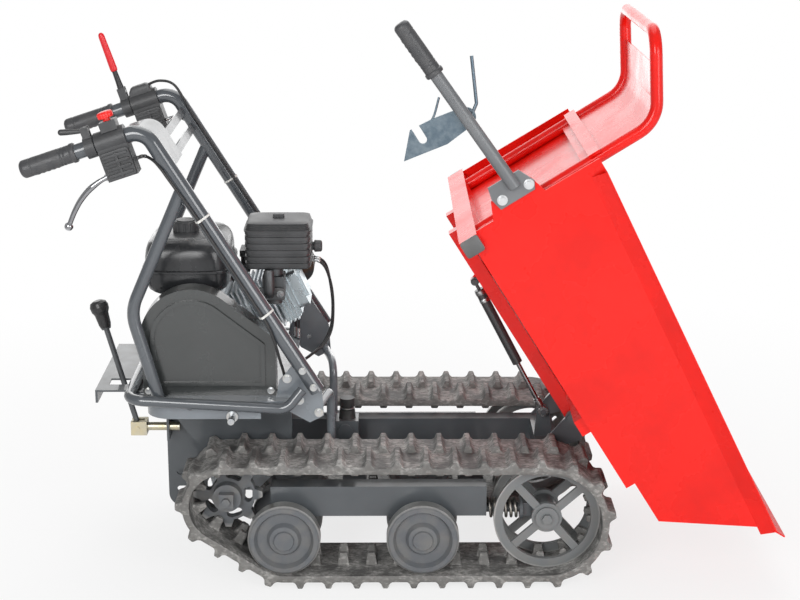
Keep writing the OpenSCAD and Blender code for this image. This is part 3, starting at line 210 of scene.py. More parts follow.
def axle(node):
    """Middle of a wheel's box in the side view."""
    low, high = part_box(node)
    return (low[0] + high[0]) / 2, (low[2] + high[2]) / 2


wheel_slate = (0.120, 0.128, 0.138)
dress(worn_wheel("sprocket_steel", [axle("sprocket_near")], 0.064, 0.074, wheel_slate),
      "sprocket_near", "sprocket_far")
dress(worn_wheel("idler_steel", [axle("idler_near")], 0.108, 0.1125, (0.180, 0.188, 0.192)),
      "idler_near", "idler_far")
roller_axles = [axle("roller_near_rear"), axle("roller_near_front")]
dress(worn_wheel("roller_steel", roller_axles, 0.072, 0.0765, wheel_slate),
      "roller_near_rear", "roller_near_front", "roller_far_rear", "roller_far_front")

# Rubber tracks: moulded belts with staggered tread bars outside and paired guide horns inside.
# Grey-brown rubber; dry soil and straw cling to the tread, and the belt's edges are rubbed smooth and grey.


def track_rubber():
    """Dark rubber under dry soil: large blotches, straw-like streaks and crumbs, as colour and relief."""
    material, place = new_finish("track_rubber")
    cloud = noise(place, 17.0, 7.0, 0.6)
    crumbs = noise(place, 210.0)
    straw = noise(stretched(place, (60.0, 260.0, 110.0)), 1.3, 5.0)
    edge = between(facing(place, "Y") ** 2.0, 0.55, 0.95)
    soil = between(cloud, 0.39, 0.60) * (1.0 - edge * 0.70)
    rubber = blend_colour(edge, (0.088, 0.086, 0.083), (0.142, 0.138, 0.131))
    grit = between(noise(place, 120.0, 6.0, 0.65), 0.40, 0.60)
    dirty = blend_colour(soil * (0.30 + 0.66 * grit), rubber, (0.410, 0.402, 0.388))
    pale = between(straw, 0.52, 0.62) * (0.20 + 0.80 * soil) * 0.70
    return wire(
        material,
        Base_Color=blend_colour(pale, dirty, (0.60, 0.585, 0.555)),
        Roughness=0.62 + soil * 0.26,
        Normal=bump(crumbs + straw * 0.8, 0.55, 0.0016))


def grid_faces(rows, columns):
    """Quads of a grid of points whose last column joins its first."""
    i = np.arange(rows - 1)[:, None]
    j = np.arange(columns)[None, :]
    after = (j + 1) % columns
    corners = np.broadcast_arrays(i * columns + j, i * columns + after,
                                  (i + 1) * columns + after, (i + 1) * columns + j)
    return np.stack(corners, axis=-1).reshape(-1, 4)


def put(name, data):
    """A new object in the scene."""
    thing = bpy.data.objects.new(name, data)
    bpy.context.scene.collection.objects.link(thing)
    return thing


def make_piece(name, shapes, material, body, sharp=40.0):
    """Joins grids into one mesh, smooth but for edges sharper than the angle in degrees."""
    starts = np.cumsum([0] + [len(points) for points, _ in shapes[:-1]])
    mesh = bpy.data.meshes.new(name)
    mesh.from_pydata(np.vstack([points for points, _ in shapes]).tolist(), [],
                     np.vstack([quads + start for (_, quads), start in zip(shapes, starts)]).tolist())
    shell = bmesh.new()
    shell.from_mesh(mesh)
    bmesh.ops.remove_doubles(shell, verts=shell.verts, dist=1e-6)
    bmesh.ops.recalc_face_normals(shell, faces=shell.faces)
    shell.to_mesh(mesh)
    shell.free()
    mesh.polygons.foreach_set("use_smooth", np.ones(len(mesh.polygons), bool))
    mesh.set_sharp_from_angle(angle=math.radians(sharp))
    mesh.materials.append(material)
    piece = put(name, mesh)
    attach(piece, body)
    return piece


track_y = 0.220


def belt_loop(side):
    """A belt over the length s of its loop and a walk round its section: y across, h out of the inner face.
    The loop is three arcs about the wheels joined by straight runs; h rises in staggered tread bars outside
    and falls in paired horns inside, each a smooth step of the distance from the middle of its link."""
    wheels = np.array([axle("sprocket_near"), axle("roller_near_rear"), axle("idler_near")])
    radius = np.array([0.074, 0.0764, 0.1124])
    teeth, tooth_pitch = 8, 0.060
    stretch = teeth * tooth_pitch / (2 * np.pi) - radius[0]
    step = np.roll(wheels, -1, axis=0) - wheels
    span = np.hypot(step[:, 0], step[:, 1])
    drop = radius - np.roll(radius, -1)
    leave = np.arctan2(step[:, 1], step[:, 0]) - np.arccos(drop / span)
    arrive = np.roll(leave, 1)
    turn = (leave - arrive) % (2 * np.pi)
    lengths = np.stack([(radius + stretch) * turn, np.sqrt(span ** 2 - drop ** 2)], axis=1).ravel()
    ends = np.concatenate([[0.0], np.cumsum(lengths)])
    links = 33
    pitch = ends[-1] / links
    s = np.linspace(0.0, ends[-1], links * 28 + 1)
    part = np.clip(np.searchsorted(ends, s, side="right") - 1, 0, 5)
    wheel = part // 2
    past = s - ends[part]
    on_arc = part % 2 == 0
    angle = np.where(on_arc, arrive[wheel] + past / (radius + stretch)[wheel], leave[wheel])
    out = np.stack([np.cos(angle), np.sin(angle)], axis=1)
    ahead = np.stack([-np.sin(angle), np.cos(angle)], axis=1)
    inner = wheels[wheel] + radius[wheel][:, None] * out + np.where(on_arc, 0.0, past)[:, None] * ahead

    def rise(x):
        x = np.clip(x, 0.0, 1.0)
        return x * x * (3.0 - 2.0 * x)

    # One half of the section: y in mm, plain height, share of the tread bar and share of the horn
    half_section = np.array([
        (1.2, 15, 1, 0), (9, 15, 1, 0), (30, 15, 1, 0), (58, 15, 1, 0), (80, 15, 1, 0), (86, 14.8, 0.96, 0),
        (89, 13.8, 0.78, 0), (90, 12, 0.42, 0), (90, 3, 0, 0), (88.6, 0, 0, 0), (60, 0, 0, 0), (32, 0, 0, 0),
        (30.3, 0, 0, 0.12), (29, 0, 0, 0.92), (27.6, 0, 0, 1), (17.4, 0, 0, 1), (16, 0, 0, 0.92),
        (14.8, 0, 0, 0.12), (13.2, 0, 0, 0)])
    other_half = half_section[::-1] * np.array([-1.0, 1.0, 1.0, 1.0])
    section = np.vstack([half_section, other_half])
    phase = np.where(section[:, 0] < 0.0, 0.0, 0.5)
    share = np.abs((s[:, None] / pitch - phase + 0.5) % 1.0 - 0.5)
    tread = 0.70 * rise((0.160 - share) / 0.085) + 0.30 * rise((0.250 - share) / 0.120)
    horn = rise((0.0126 - np.abs((s / pitch) % 1.0 - 0.5) * pitch) / 0.0052)[:, None]
    bar_high, horn_deep = 15.0, 26.0
    h = 0.001 * (section[:, 1] + bar_high * section[:, 2] * tread - horn_deep * section[:, 3] * horn)
    x = inner[:, :1] + h * out[:, :1]
    z = inner[:, 1:] + h * out[:, 1:]
    y = side * (track_y - 0.001 * section[:, 0]) * np.ones_like(x)
    return np.stack([x, y, z], axis=-1).reshape(-1, 3), grid_faces(len(s), len(section))


belt_rubber = track_rubber()
for side, node in ((-1.0, "track_near"), (1.0, "track_far")):
    belt = make_piece(node + "_belt", [belt_loop(side)], belt_rubber, "chassis", 55.0)
    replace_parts(belt, node)

# Tension springs: round spring wire wound between the end of each track beam and the idler yoke.
# Phosphated dark steel with dust between the curls; the end curls bear on their seats.


def full_turn(steps):
    """Equal angles once round."""
    return np.linspace(0.0, 2 * np.pi, steps, endpoint=False)


def pipe(path, radius, sides, lift, flat=1.0):
    """A section carried along a path and closed at its ends: path + r (cos a side + flat sin a up).
    side is the path's direction crossed with lift, and up is the direction crossed with side."""
    path = np.asarray(path, float)
    inner = np.gradient(path, axis=0)
    along = np.vstack([inner[:1], inner, inner[-1:]])
    along /= np.linalg.norm(along, axis=1, keepdims=True)
    side = np.cross(along, np.asarray(lift, float))
    side /= np.linalg.norm(side, axis=1, keepdims=True)
    up = np.cross(along, side)
    spine = np.vstack([path[:1], path, path[-1:]])
    reach = np.concatenate([[0.0], np.broadcast_to(radius, len(path)), [0.0]])
    turn = full_turn(sides)[None, :, None]
    ring = np.cos(turn) * side[:, None] + flat * np.sin(turn) * up[:, None]
    return (spine[:, None] + reach[:, None, None] * ring).reshape(-1, 3), grid_faces(len(spine), sides)


def bare_steel(name, colour, tint, roughness):
    """Plated or bright steel: mottled plating, fine drawn grain and finger marks in the gloss."""
    material, place = new_finish(name)
    cloud = noise(place, 70.0, 5.0)
    grain = noise(stretched(place, (900.0, 160.0, 160.0)), 1.0, 3.0)
    return wire(
        material,
        Base_Color=blend_colour(between(cloud, 0.38, 0.68), colour, tint),
        Metallic=1.0,
        Roughness=roughness + 0.16 * between(cloud, 0.3, 0.75) + 0.06 * grain,
        Normal=bump(grain, 0.08, 0.0004))


spring_low, spring_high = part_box("tension_springs")
spring_z = (spring_low[2] + spring_high[2]) / 2
spring_start, spring_run = 0.1684, 0.0642
spring_wire = 0.0032
spring_mean = 0.019
spring_curls = 6
# Helix: the wire's centre turns about the yoke rod while it runs along it
turn_share = np.linspace(0.0, 1.0, spring_curls * 40 + 1)
spin = 2 * np.pi * spring_curls * turn_share
coils = []
for spring_y in (-track_y, track_y):
    coil_path = np.stack([spring_start + spring_run * turn_share, spring_y + spring_mean * np.cos(spin),
                          spring_z + spring_mean * np.sin(spin)], axis=1)
    coils.append(pipe(coil_path, spring_wire, 12, (1.0, 0.0, 0.0)))
spring_steel = bare_steel("spring_steel", (0.30, 0.29, 0.28), (0.42, 0.39, 0.34), 0.34)
springs = make_piece("yoke_springs", coils, spring_steel, "chassis")
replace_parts(springs, "tension_springs")

# Gearbox and engine castings: die-cast aluminium with a fine sandy skin, oil mist and road dust.
# The rocker cover on the head is a pressed shell, brighter and smoother than the castings.


def cast_alloy(name, colour, roughness, relief, dirt):
    """Cast aluminium: grainy skin, and brown grime that takes the shine off in patches."""
    material, place = new_finish(name)
    grime = between(noise(place, 42.0, 6.0), 0.50, 0.74) * dirt
    return wire(
        material,
        Base_Color=blend_colour(grime, colour, (0.12, 0.10, 0.085)),
        Metallic=0.85 - grime * 0.7,
        Roughness=roughness + 0.15 * between(noise(place, 22.0, 5.0), 0.3, 0.7) + grime * 0.2,
        Normal=bump(noise(place, 1100.0, 2.0), relief, 0.0006))


alloy = cast_alloy("cast_alloy", (0.78, 0.82, 0.85), 0.38, 0.20, 0.28)
dress(alloy, "gearbox", "crankcase", "cylinder_barrel")
dress(cast_alloy("pressed_alloy", (0.54, 0.60, 0.63), 0.22, 0.02, 0.05), "cylinder_head")
dark_casting = cast_alloy("dark_casting", (0.115, 0.120, 0.125), 0.42, 0.20, 0.30)
dress(dark_casting, "carburettor")

# Black mouldings: fuel tank, filler cap, air filter box, fan housing, control housings and throttle lever.
# Injection-moulded plastic with a fine leather grain, shiny where hands rub it and dusty on top.


def moulded_plastic(name, colour, roughness, cell, relief=0.0002):
    """Moulded plastic: fine cell grain as relief, cloudy wear in the tone, and lint on upward faces."""
    material, place = new_finish(name)
    cells = place.add("ShaderNodeTexVoronoi", {"feature": "SMOOTH_F1"},
                      {"Vector": place, "Scale": cell, "Smoothness": 0.6})
    cloud = noise(place, 18.0)
    lint = between(facing(place, "Z"), 0.3, 1.0) * between(noise(place, 120.0, 5.0), 0.50, 0.75) * 0.20
    worn = [1.6 * c + 0.006 for c in colour]
    return wire(
        material,
        Base_Color=blend_colour(lint, blend_colour(between(cloud, 0.35, 0.7), colour, worn), road_dust),
        Roughness=roughness + 0.16 * between(cloud, 0.3, 0.7) + lint * 0.4,
        Normal=bump(cells, 0.16, relief))


black_plastic = moulded_plastic("black_plastic", (0.036, 0.037, 0.039), 0.34, 900.0)
dress(black_plastic, "fuel_cap", "fan_housing", "control_housings")


def lathe(profile, origin, axis, sides=56, under=None, reach=None):
    """A profile of (distance along the axis, radius) turned about it: origin + s axis + r (cos a, sin a).
    Angles start from the direction under, and reach, if given, holds r for every row and angle instead."""
    profile = np.asarray(profile, float)
    axis = np.asarray(axis, float) / np.linalg.norm(axis)
    if under is None:
        under = (0.0, 0.0, 1.0) if abs(axis[2]) < 0.9 else (1.0, 0.0, 0.0)
    first = np.asarray(under, float) - np.dot(under, axis) * axis
    first /= np.linalg.norm(first)
    second = np.cross(axis, first)
    turn = full_turn(sides)
    ring = np.cos(turn)[:, None] * first + np.sin(turn)[:, None] * second
    radii = profile[:, 1][:, None] * np.ones(sides) if reach is None else reach
    points = np.asarray(origin, float) + profile[:, 0][:, None, None] * axis + radii[:, :, None] * ring
    return points.reshape(-1, 3), grid_faces(len(profile), sides)


def squarish(turn, power):
    """The cosine and sine of an angle swollen towards a square: sign(c)|c|^power of each."""
    return [np.sign(v) * np.abs(v) ** power for v in (np.cos(turn), np.sin(turn))]


def rounded_block(centre, half, power):
    """A block with swollen faces: a ball's cosines and sines swollen to a power, times the half sizes."""
    cos_lift, sin_lift = squarish(np.linspace(-np.pi / 2, np.pi / 2, 25)[:, None], power)
    cos_turn, sin_turn = squarish(full_turn(48)[None, :], power)
    shape = np.stack([cos_lift * cos_turn, cos_lift * sin_turn, sin_lift * np.ones_like(cos_turn)], axis=-1)
    return (np.asarray(centre) + shape * np.asarray(half)).reshape(-1, 3), grid_faces(25, 48)


def stacked(centre, half, rows, power):
    """Level outlines one above another: a circle swollen towards a rectangle of the half sizes, drawn in by
    the inset of each row of (height, inset) in millimetres and closed at both ends."""
    rows = np.asarray(rows, float) / 1000.0
    outline = np.stack(squarish(full_turn(96), power), axis=1)
    reach = np.clip(np.asarray(half) - rows[:, 1:], 0.0, None)
    height = np.broadcast_to(rows[:, :1, None], (len(rows), 96, 1))
    level = np.concatenate([reach[:, None] * outline, height], axis=2)
    return (np.asarray(centre) + level).reshape(-1, 3), grid_faces(len(rows), 96)


tank_low = 0.590
tank_rows = [(0, 999), (0, 30), (2, 21), (6, 14), (13, 6), (24, 1.5), (40, 0), (51, 0), (52, -5), (53, -6),
             (57, -6), (58, -5), (59, 0), (80, 0.5), (94, 2.5), (104, 6), (111, 11.5), (116, 19), (119, 30),
             (120, 44), (120.5, 999)]
neck = [(0.119, 0.0), (0.119, 0.0199), (0.1335, 0.0199), (0.1340, 0.0194), (0.1340, 0.0)]
tank_plastic = moulded_plastic("tank_plastic", (0.021, 0.022, 0.024), 0.16, 1500.0, 0.00002)
tank_shapes = [stacked((-0.466, -0.032, tank_low), (0.090, 0.118), tank_rows, 0.42),
               lathe(neck, (-0.474, -0.032, tank_low), (0.0, 0.0, 1.0))]
tank_shell = make_piece("tank_shell", tank_shapes, tank_plastic, "chassis", 30.0)
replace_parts(tank_shell, "fuel_tank")

filter_rows = [(0, 999), (0, 5), (3, 1), (8, 0)]
for z in (13, 27, 41, 55, 69):
    filter_rows += [(z, 0), (z + 1, 2.4), (z + 5, 2.4), (z + 6, 0)]
filter_rows += [(80, 0), (80.5, -1.6), (83, -1.6), (83.5, 0.8)]
for k in range(4):
    filter_rows += [(84.5 + 3.2 * k, 0.8 + k), (85.3 + 3.2 * k, 2.6 + k),
                    (86.5 + 3.2 * k, 2.6 + k), (87.3 + 3.2 * k, 1.4 + k)]
filter_rows += [(98, 7), (99.4, 13), (100, 22), (100, 999)]
filter_shapes = [stacked((-0.2725, -0.076, 0.648), (0.0695, 0.062), filter_rows, 0.24),
                 rounded_block((-0.2725, -0.076, 0.7515), (0.0120, 0.0080, 0.0044), 0.25)]
filter_box = make_piece("filter_box", filter_shapes, black_plastic, "chassis", 30.0)
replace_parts(filter_box, "air_filter")

# Intake: a cast flange bolted to the front of the carburettor, with an elbow up to the filter box.
# The filter's cover is held by a fluted plastic knob on its front end.


def hex_bolt(at, axis, radius):
    """A bolt head on a washer: a six-sided turned profile with an eased top over a thin round one."""
    wide = 1.42 * radius
    head = [(0.0015, 0.0), (0.0015, radius), (0.0052, radius), (0.0060, 0.86 * radius), (0.0060, 0.0)]
    washer = [(0.0, 0.0), (0.0, wide), (0.0012, wide), (0.0016, 1.34 * radius), (0.0016, 0.0)]
    return [lathe(head, at, axis, 6), lathe(washer, at, axis, 32)]


def through(points, steps):
    """A smooth curve through every point, from millimetres to metres: each stretch is the cubic
    that its two points and their outer neighbours set."""
    p = np.asarray(points, float) / 1000.0
    p = np.vstack([p[:1], p, p[-1:]])
    t = np.linspace(0.0, 1.0, steps, endpoint=False)[None, :, None]
    a, b, c, d = (p[k:len(p) - 3 + k][:, None] for k in range(4))
    curve = 0.5 * (2 * b + (c - a) * t + (2 * a - 5 * b + 4 * c - d) * t ** 2
                   + (3 * b - a - 3 * c + d) * t ** 3)
    return np.vstack([curve.reshape(-1, 3), p[-1:]])


def fluted(profile, at, axis, sides, count, depth, power, low, inner):
    """A turned knob with flutes in its rim, past the height low and the radius inner: there the radius is
    r (1 - depth cos^power(count a))."""
    profile = np.asarray(profile, float)
    rim = ((profile[:, 0] > low) & (profile[:, 1] > inner))[:, None]
    flutes = depth * np.cos(count * full_turn(sides)) ** power
    return lathe(profile, at, axis, sides, None, profile[:, 1:] * (1.0 - rim * flutes))


elbow = through([(-291, -131, 596), (-291, -144, 602), (-291, -146, 618), (-291, -143, 634),
                 (-291, -139, 646)], 8)
make_piece("intake_flange", [rounded_block((-0.2915, -0.1315, 0.5945), (0.0330, 0.0034, 0.0135), 0.25),
                             pipe(elbow, 0.0115, 28, (1.0, 0.0, 0.0))], dark_casting, "chassis")
zinc = bare_steel("zinc_plate", (0.50, 0.52, 0.54), (0.60, 0.59, 0.56), 0.22)
intake_bolts = hex_bolt((-0.3165, -0.1349, 0.5938), (0.0, -1.0, 0.0), 0.0055)
intake_bolts += hex_bolt((-0.2685, -0.1349, 0.5952), (0.0, -1.0, 0.0), 0.0055)
make_piece("intake_bolts", intake_bolts, zinc, "chassis", 30.0)
knob_profile = [(0.0, 0.0), (0.0, 0.0090), (0.004, 0.0090), (0.005, 0.0122), (0.0065, 0.0128),
                (0.0185, 0.0122), (0.0205, 0.0108), (0.0215, 0.0080), (0.0215, 0.0)]
knob = fluted(knob_profile, (-0.2028, -0.076, 0.685), (1.0, 0.0, 0.0), 60, 10, 0.055, 4, 0.0055, 0.010)
make_piece("filter_knob", [knob], black_plastic, "chassis")

# Crankcase back: cast ribs and the flange of the side cover, which plated bolts hold from the near side.
# A drain bolt and a fluted plastic oil filler plug are screwed in low down, where the oil can be reached.
case_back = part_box("crankcase")[0][0] + 0.006
case_ribs = [rounded_block((case_back, -0.060, 0.487), (0.0050, 0.0050, 0.0745), 0.25)]
case_ribs += [rounded_block((case_back, 0.017, z), (0.0034, 0.0720, 0.0024), 0.25)
              for z in (0.478, 0.506, 0.534)]
plug_axis = np.array([-0.88, 0.0, 0.475])
plug_boss = [(-0.012, 0.0), (-0.012, 0.0165), (0.004, 0.0150), (0.006, 0.0138), (0.006, 0.0)]
plug_at = np.array([case_back, 0.052, 0.436])
case_ribs.append(lathe(plug_boss, plug_at, plug_axis))
make_piece("crankcase_ribs", case_ribs, alloy, "chassis")
plug_profile = [(0.006, 0.0), (0.006, 0.0132), (0.008, 0.0146), (0.017, 0.0140), (0.0190, 0.0122),
                (0.0198, 0.0090), (0.0198, 0.0)]
oil_plug = fluted(plug_profile, plug_at, plug_axis, 64, 4, 0.09, 6, 0.007, 0.012)
make_piece("oil_filler_plug", [oil_plug], black_plastic, "chassis", 30.0)
case_bolts = hex_bolt((case_back, -0.012, 0.427), (-1.0, 0.0, 0.0), 0.0085)
for z in (0.430, 0.487, 0.544):
    case_bolts += hex_bolt((case_back - 0.0005, -0.0650, z), (0.0, -1.0, 0.0), 0.0042)
make_piece("crankcase_bolts", case_bolts, zinc, "chassis", 30.0)

# Muffler: folded and seamed steel box on the far side of the head, bolted to the exhaust port.
# Black heat paint that has burnt brown round the seam.


def burnt_paint():
    """Matt heat paint with rust breaking through it in patches."""
    material, place = new_finish("burnt_paint")
    rust = between(noise(place, 30.0, 7.0), 0.50, 0.70)
    return wire(
        material,
        Base_Color=blend_colour(rust * 0.75, (0.030, 0.029, 0.028), (0.17, 0.075, 0.035)),
        Metallic=rust * 0.3,
        Roughness=0.52 + rust * 0.3,
        Normal=bump(noise(place, 500.0), 0.25, 0.0005))


dress(burnt_paint(), "muffler")

# Belt drive: pressed cover in dark gloss enamel bolted to the tray, over turned pulleys and a moulded V-belt.
# The same rubber makes the plug cap and the two-ring buffer that the skip rests on.
dress(enamel("cover_enamel", (0.050, 0.054, 0.054), road_dust, 0.12, 0.20, 0.5, 0.08), "belt_cover")
dress(zinc, "fasteners", "crank_pulley", "input_pulley")


def soft_rubber(name, colour, dust_share):
    """Moulded rubber: matt, with a grey bloom in patches and a fine skin."""
    material, place = new_finish(name)
    bloom = between(noise(place, 45.0, 5.0), 0.42, 0.72)
    return wire(
        material,
        Base_Color=blend_colour(bloom * dust_share, colour, (0.16, 0.155, 0.15)),
        Roughness=0.36 + bloom * 0.22,
        Normal=bump(noise(place, 420.0, 2.0), 0.10, 0.00008))


black_rubber = soft_rubber("black_rubber", (0.024, 0.024, 0.024), 0.22)
dress(black_rubber, "drive_belt", "spark_plug", "buffer")

# Buffer ring: a plated washer in the groove between the two rubber rings of the buffer.
# Stamped from sheet, it stops the rings from spreading under the skip.
buffer_low, buffer_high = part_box("buffer")
groove = [(buffer_low[0] + buffer_high[0]) / 2, (buffer_low[1] + buffer_high[1]) / 2, buffer_low[2] + 0.0235]
ring_r = (buffer_high[0] - buffer_low[0]) / 2 - 0.002
bore, edge, rim = ring_r - 0.0045, ring_r - 0.001, ring_r - 0.0004
washer = [(-0.0016, bore), (-0.0016, edge), (-0.001, rim), (0.001, rim), (0.0016, edge), (0.0016, bore),
          (-0.0016, bore)]
make_piece("buffer_ring", [lathe(washer, groove, (0.0, 0.0, 1.0))], zinc, "chassis")

# Control levers: chromed steel bars, a black moulded throttle, a red fluted stop knob and the clutch.
# The clutch lever is a dark flat bar with a dipped red vinyl sleeve, on a perch clamped to the far handle.


def sloping(degrees):
    """Unit vectors along and square to a line that rises towards the front by an angle, in the side view."""
    slope = math.radians(degrees)
    return np.array([[math.cos(slope), 0.0, math.sin(slope)], [-math.sin(slope), 0.0, math.cos(slope)]])


handle_along, handle_up = sloping(18.3)
handle_end = np.array([-0.7706, 0.0, 0.8835])
handle_y = 0.252
across = np.array([0.0, 1.0, 0.0])


def handle_place(side, along, y, n):
    """Points of one handle in millimetres: along the grip, across from its tube and up from it."""
    along, y, n = np.broadcast_arrays(along, y, n)
    return (1000.0 * handle_end + along[..., None] * handle_along
            + (side * 1000.0 * handle_y + y)[..., None] * across + n[..., None] * handle_up)


def eye(side, along, n, bore, outer, half):
    """A turned eye about a crosswise pin: a closed ring profile with eased corners."""
    profile = [(-half, bore), (-half, outer - 0.001), (0.001 - half, outer), (half - 0.001, outer),
               (half, outer - 0.001), (half, bore), (-half, bore)]
    return lathe(profile, handle_place(side, along, 0.0, n) / 1000.0, across)


def chrome():
    """Bright chrome: a painted dark reflection band on the sides of the bar, standing in for the dark room
    they would mirror, and faint finger marks.
    """
    material, place = new_finish("chromed_bar")
    lean = facing(place, "Z")
    # Painted reflection: the base colour turns dark where the bar's surface faces sideways, standing in for
    # the dark room it would mirror.
    band = between(lean, -0.75, -0.10) * (1.0 - between(lean, 0.10, 0.45))
    return wire(
        material,
        Base_Color=blend_colour(band * 0.72, (0.66, 0.67, 0.69), (0.13, 0.13, 0.14)),
        Metallic=1.0,
        Roughness=0.06 + 0.05 * between(noise(place, 30.0, 2.0), 0.4, 0.75))


def distance_along(path):
    """How far each point of a path lies from its start."""
    return np.concatenate([[0.0], np.cumsum(np.linalg.norm(np.diff(path, axis=0), axis=1))])


def handle_curve(side, route, steps):
    """A smooth curve in one handle's middle plane through rows of (along, up) in millimetres."""
    along, n = np.array(route, float).T
    return through(handle_place(side, along, 0.0, n), steps)


def ball_lever(side):
    """A bar on a curve: 5 mm radius inside the box, swelling to 6.4 outside it and thinning to 4.8, then the
    half circle of a 9 mm ball at the free end."""
    path = handle_curve(side, [(164, -65.5), (150, -68), (134, -71.5), (112, -80), (90, -93.5), (72, -109),
                               (58, -124), (47, -137), (41.2, -143.9)], 16)
    s = distance_along(path)
    ball_r = 0.009
    ball = np.sqrt(np.clip(ball_r ** 2 - (s - s[-1] + ball_r) ** 2, 0.0, None))
    bar = np.interp(s, (0.0, 0.020, 0.045, s[-1]), (0.0050, 0.0050, 0.0064, 0.0048))
    radius = np.maximum(np.where(s < s[-1] - ball_r, bar, 0.0), ball)
    return [pipe(path, radius, 28, across), eye(side, 174, -64, 0.00403, 0.010, 0.006)]


chromed_bar = chrome()
for side, node in ((-1.0, "steering_lever_near"), (1.0, "steering_lever_far")):
    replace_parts(make_piece(node + "_bar", ball_lever(side), chromed_bar, node + "_body"), node)

throttle_path = handle_curve(-1.0, [(140, 35.8), (127, 39), (114, 42.5), (101, 46), (94.7, 47.7)], 16)
throttle_s = distance_along(throttle_path)
near_tip = np.clip((throttle_s - throttle_s[-1] + 0.006) / 0.006, 0.0, 1.0)
throttle_end = np.sqrt(np.clip(1.0 - near_tip ** 2, 0.0, 1.0))
throttle_r = (0.0044 + 0.0018 * np.clip(throttle_s / 0.030, 0.0, 1.0)) * throttle_end
paddle = [pipe(throttle_path, throttle_r, 28, across, 0.9), eye(-1.0, 147, 34, 0.00303, 0.008, 0.0058)]
throttle = make_piece("throttle_paddle", paddle, black_plastic, "throttle_lever_body")
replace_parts(throttle, "throttle_lever")

red_plastic = moulded_plastic("red_plastic", (0.74, 0.016, 0.012), 0.26, 1400.0, 0.00006)
stop_profile = [(0.036, 0.0), (0.036, 0.0079), (0.046, 0.0079), (0.046, 0.0150), (0.0470, 0.0160),
                (0.0545, 0.0162), (0.0568, 0.0154), (0.0584, 0.0130), (0.0592, 0.0090), (0.0592, 0.0)]
stop_at = handle_place(-1.0, 196, 0.0, 0.0) / 1000.0
stop_shape = fluted(stop_profile, stop_at, handle_up, 84, 7, 0.06, 6, 0.0455, 0.0140)
stop_knob = make_piece("stop_knob", [stop_shape], red_plastic, "stop_button_body")
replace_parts(stop_knob, "stop_button")


def handle_block(side, along, y, n, half):
    """A block with swollen faces laid along one handle, its half sizes along, across and up from it."""
    points, faces = rounded_block((0.0, 0.0, 0.0), half, 0.22)
    turned = points @ np.stack([handle_along, across, handle_up])
    return handle_place(side, along, y, n) / 1000.0 + turned, faces


# Each control box has a moulded lid: a plate with four louvres and a middle bar
lids = []
for side in (-1.0, 1.0):
    lids.append(handle_block(side, 191, -27.2, -46, (0.0300, 0.0020, 0.0290)))
    lids.append(handle_block(side, 194, -30.6, -46, (0.0028, 0.0026, 0.0250)))
    lids += [handle_block(side, 191, -30.4, n, (0.0265, 0.0030, 0.0030)) for n in (-26, -39, -52, -65)]
make_piece("control_lids", lids, black_plastic, "chassis", 30.0)


def along_line(place, start, direction):
    """How far a point lies from the start along a unit direction, in metres."""
    run = place.add("ShaderNodeVectorMath", {"operation": "DOT_PRODUCT"},
                    {0: place, 1: tuple(float(d) for d in direction)}, "Value")
    return run - float(np.dot(start, direction))


def sleeved_bar(name, bar, metallic, sleeve, start, direction):
    """A bar up to a plane across it, and a moulded sleeve or knob beyond the plane."""
    material, place = new_finish(name)
    covered = between(along_line(place, start, direction), -0.0004, 0.0004)
    return wire(
        material,
        Base_Color=blend_colour(covered, bar, sleeve),
        Metallic=metallic * (1.0 - covered),
        Roughness=0.26 + 0.16 * noise(place, 60.0),
        Normal=bump(noise(place, 900.0), 0.10, 0.0002))


clutch_finish = sleeved_bar("clutch_sleeve", (0.030, 0.030, 0.032), 0.2, (0.74, 0.014, 0.022),
                            handle_end + 0.086 * handle_up, handle_up)
clutch_path = handle_curve(1.0, [(148, n) for n in (42, 60, 85, 87, 120, 150, 176.5)], 14)
clutch_n = (clutch_path - handle_place(1.0, 148, 0.0, 0.0) / 1000.0) @ handle_up
clutch_r = np.interp(clutch_n, (0.042, 0.060, 0.0855, 0.0865, 0.092, 0.168, 0.173, 0.1755, 0.1765),
                     (0.0078, 0.0066, 0.0058, 0.0076, 0.0084, 0.0070, 0.0058, 0.0034, 0.0004))
clutch_shapes = [pipe(clutch_path, clutch_r, 28, across, 0.72), eye(1.0, 148, 36, 0.00403, 0.009, 0.0058)]
clutch = make_piece("clutch_handle", clutch_shapes, clutch_finish, "clutch_lever_body")
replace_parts(clutch, "clutch_lever")


def carried(sections):
    """Closed sections of equal count one after another, each end closed onto its own middle."""
    caps = sections[[0, -1]].mean(axis=1, keepdims=True).repeat(sections.shape[1], axis=1)
    rows = np.concatenate([caps[:1], sections, caps[1:]])
    return rows.reshape(-1, 3), grid_faces(len(rows), sections.shape[1])


# The perch's underside follows the clamp round the far handle, and its top falls off at both ends
clamp_r = 24.2
saddle = np.radians(np.linspace(54.0, 126.0, 15))
perch_rows = np.array([(163, 29), (164, 31), (170, 38.5), (174, 40), (203, 40), (209, 37), (213, 31),
                       (214, 29)])
under_n = np.broadcast_to(clamp_r * np.sin(saddle), (len(perch_rows), len(saddle)))
over_n = (perch_rows[:, 1:] * np.array([0.45, 1.0, 1.0, 1.0, 1.0, 1.0, 1.0, 0.45])
          + np.array([10.0, -4.0, -1.2, 0.0, 0.0, -1.2, -4.0, 10.0]))
perch_y = np.concatenate([clamp_r * np.cos(saddle), [-14.6, -13.6, -11.6, -8.0, 8.0, 11.6, 13.6, 14.6]])
perch = handle_place(1.0, perch_rows[:, :1], perch_y, np.hstack([under_n, over_n])) / 1000.0
make_piece("clutch_perch", [carried(perch)], black_plastic, "chassis", 30.0)

# Handle grips: thick moulded rubber pushed over the handle tubes, with finger nubs underneath,
# two pressed rings near the thumb flange, one near the tip, and a closed rounded end.


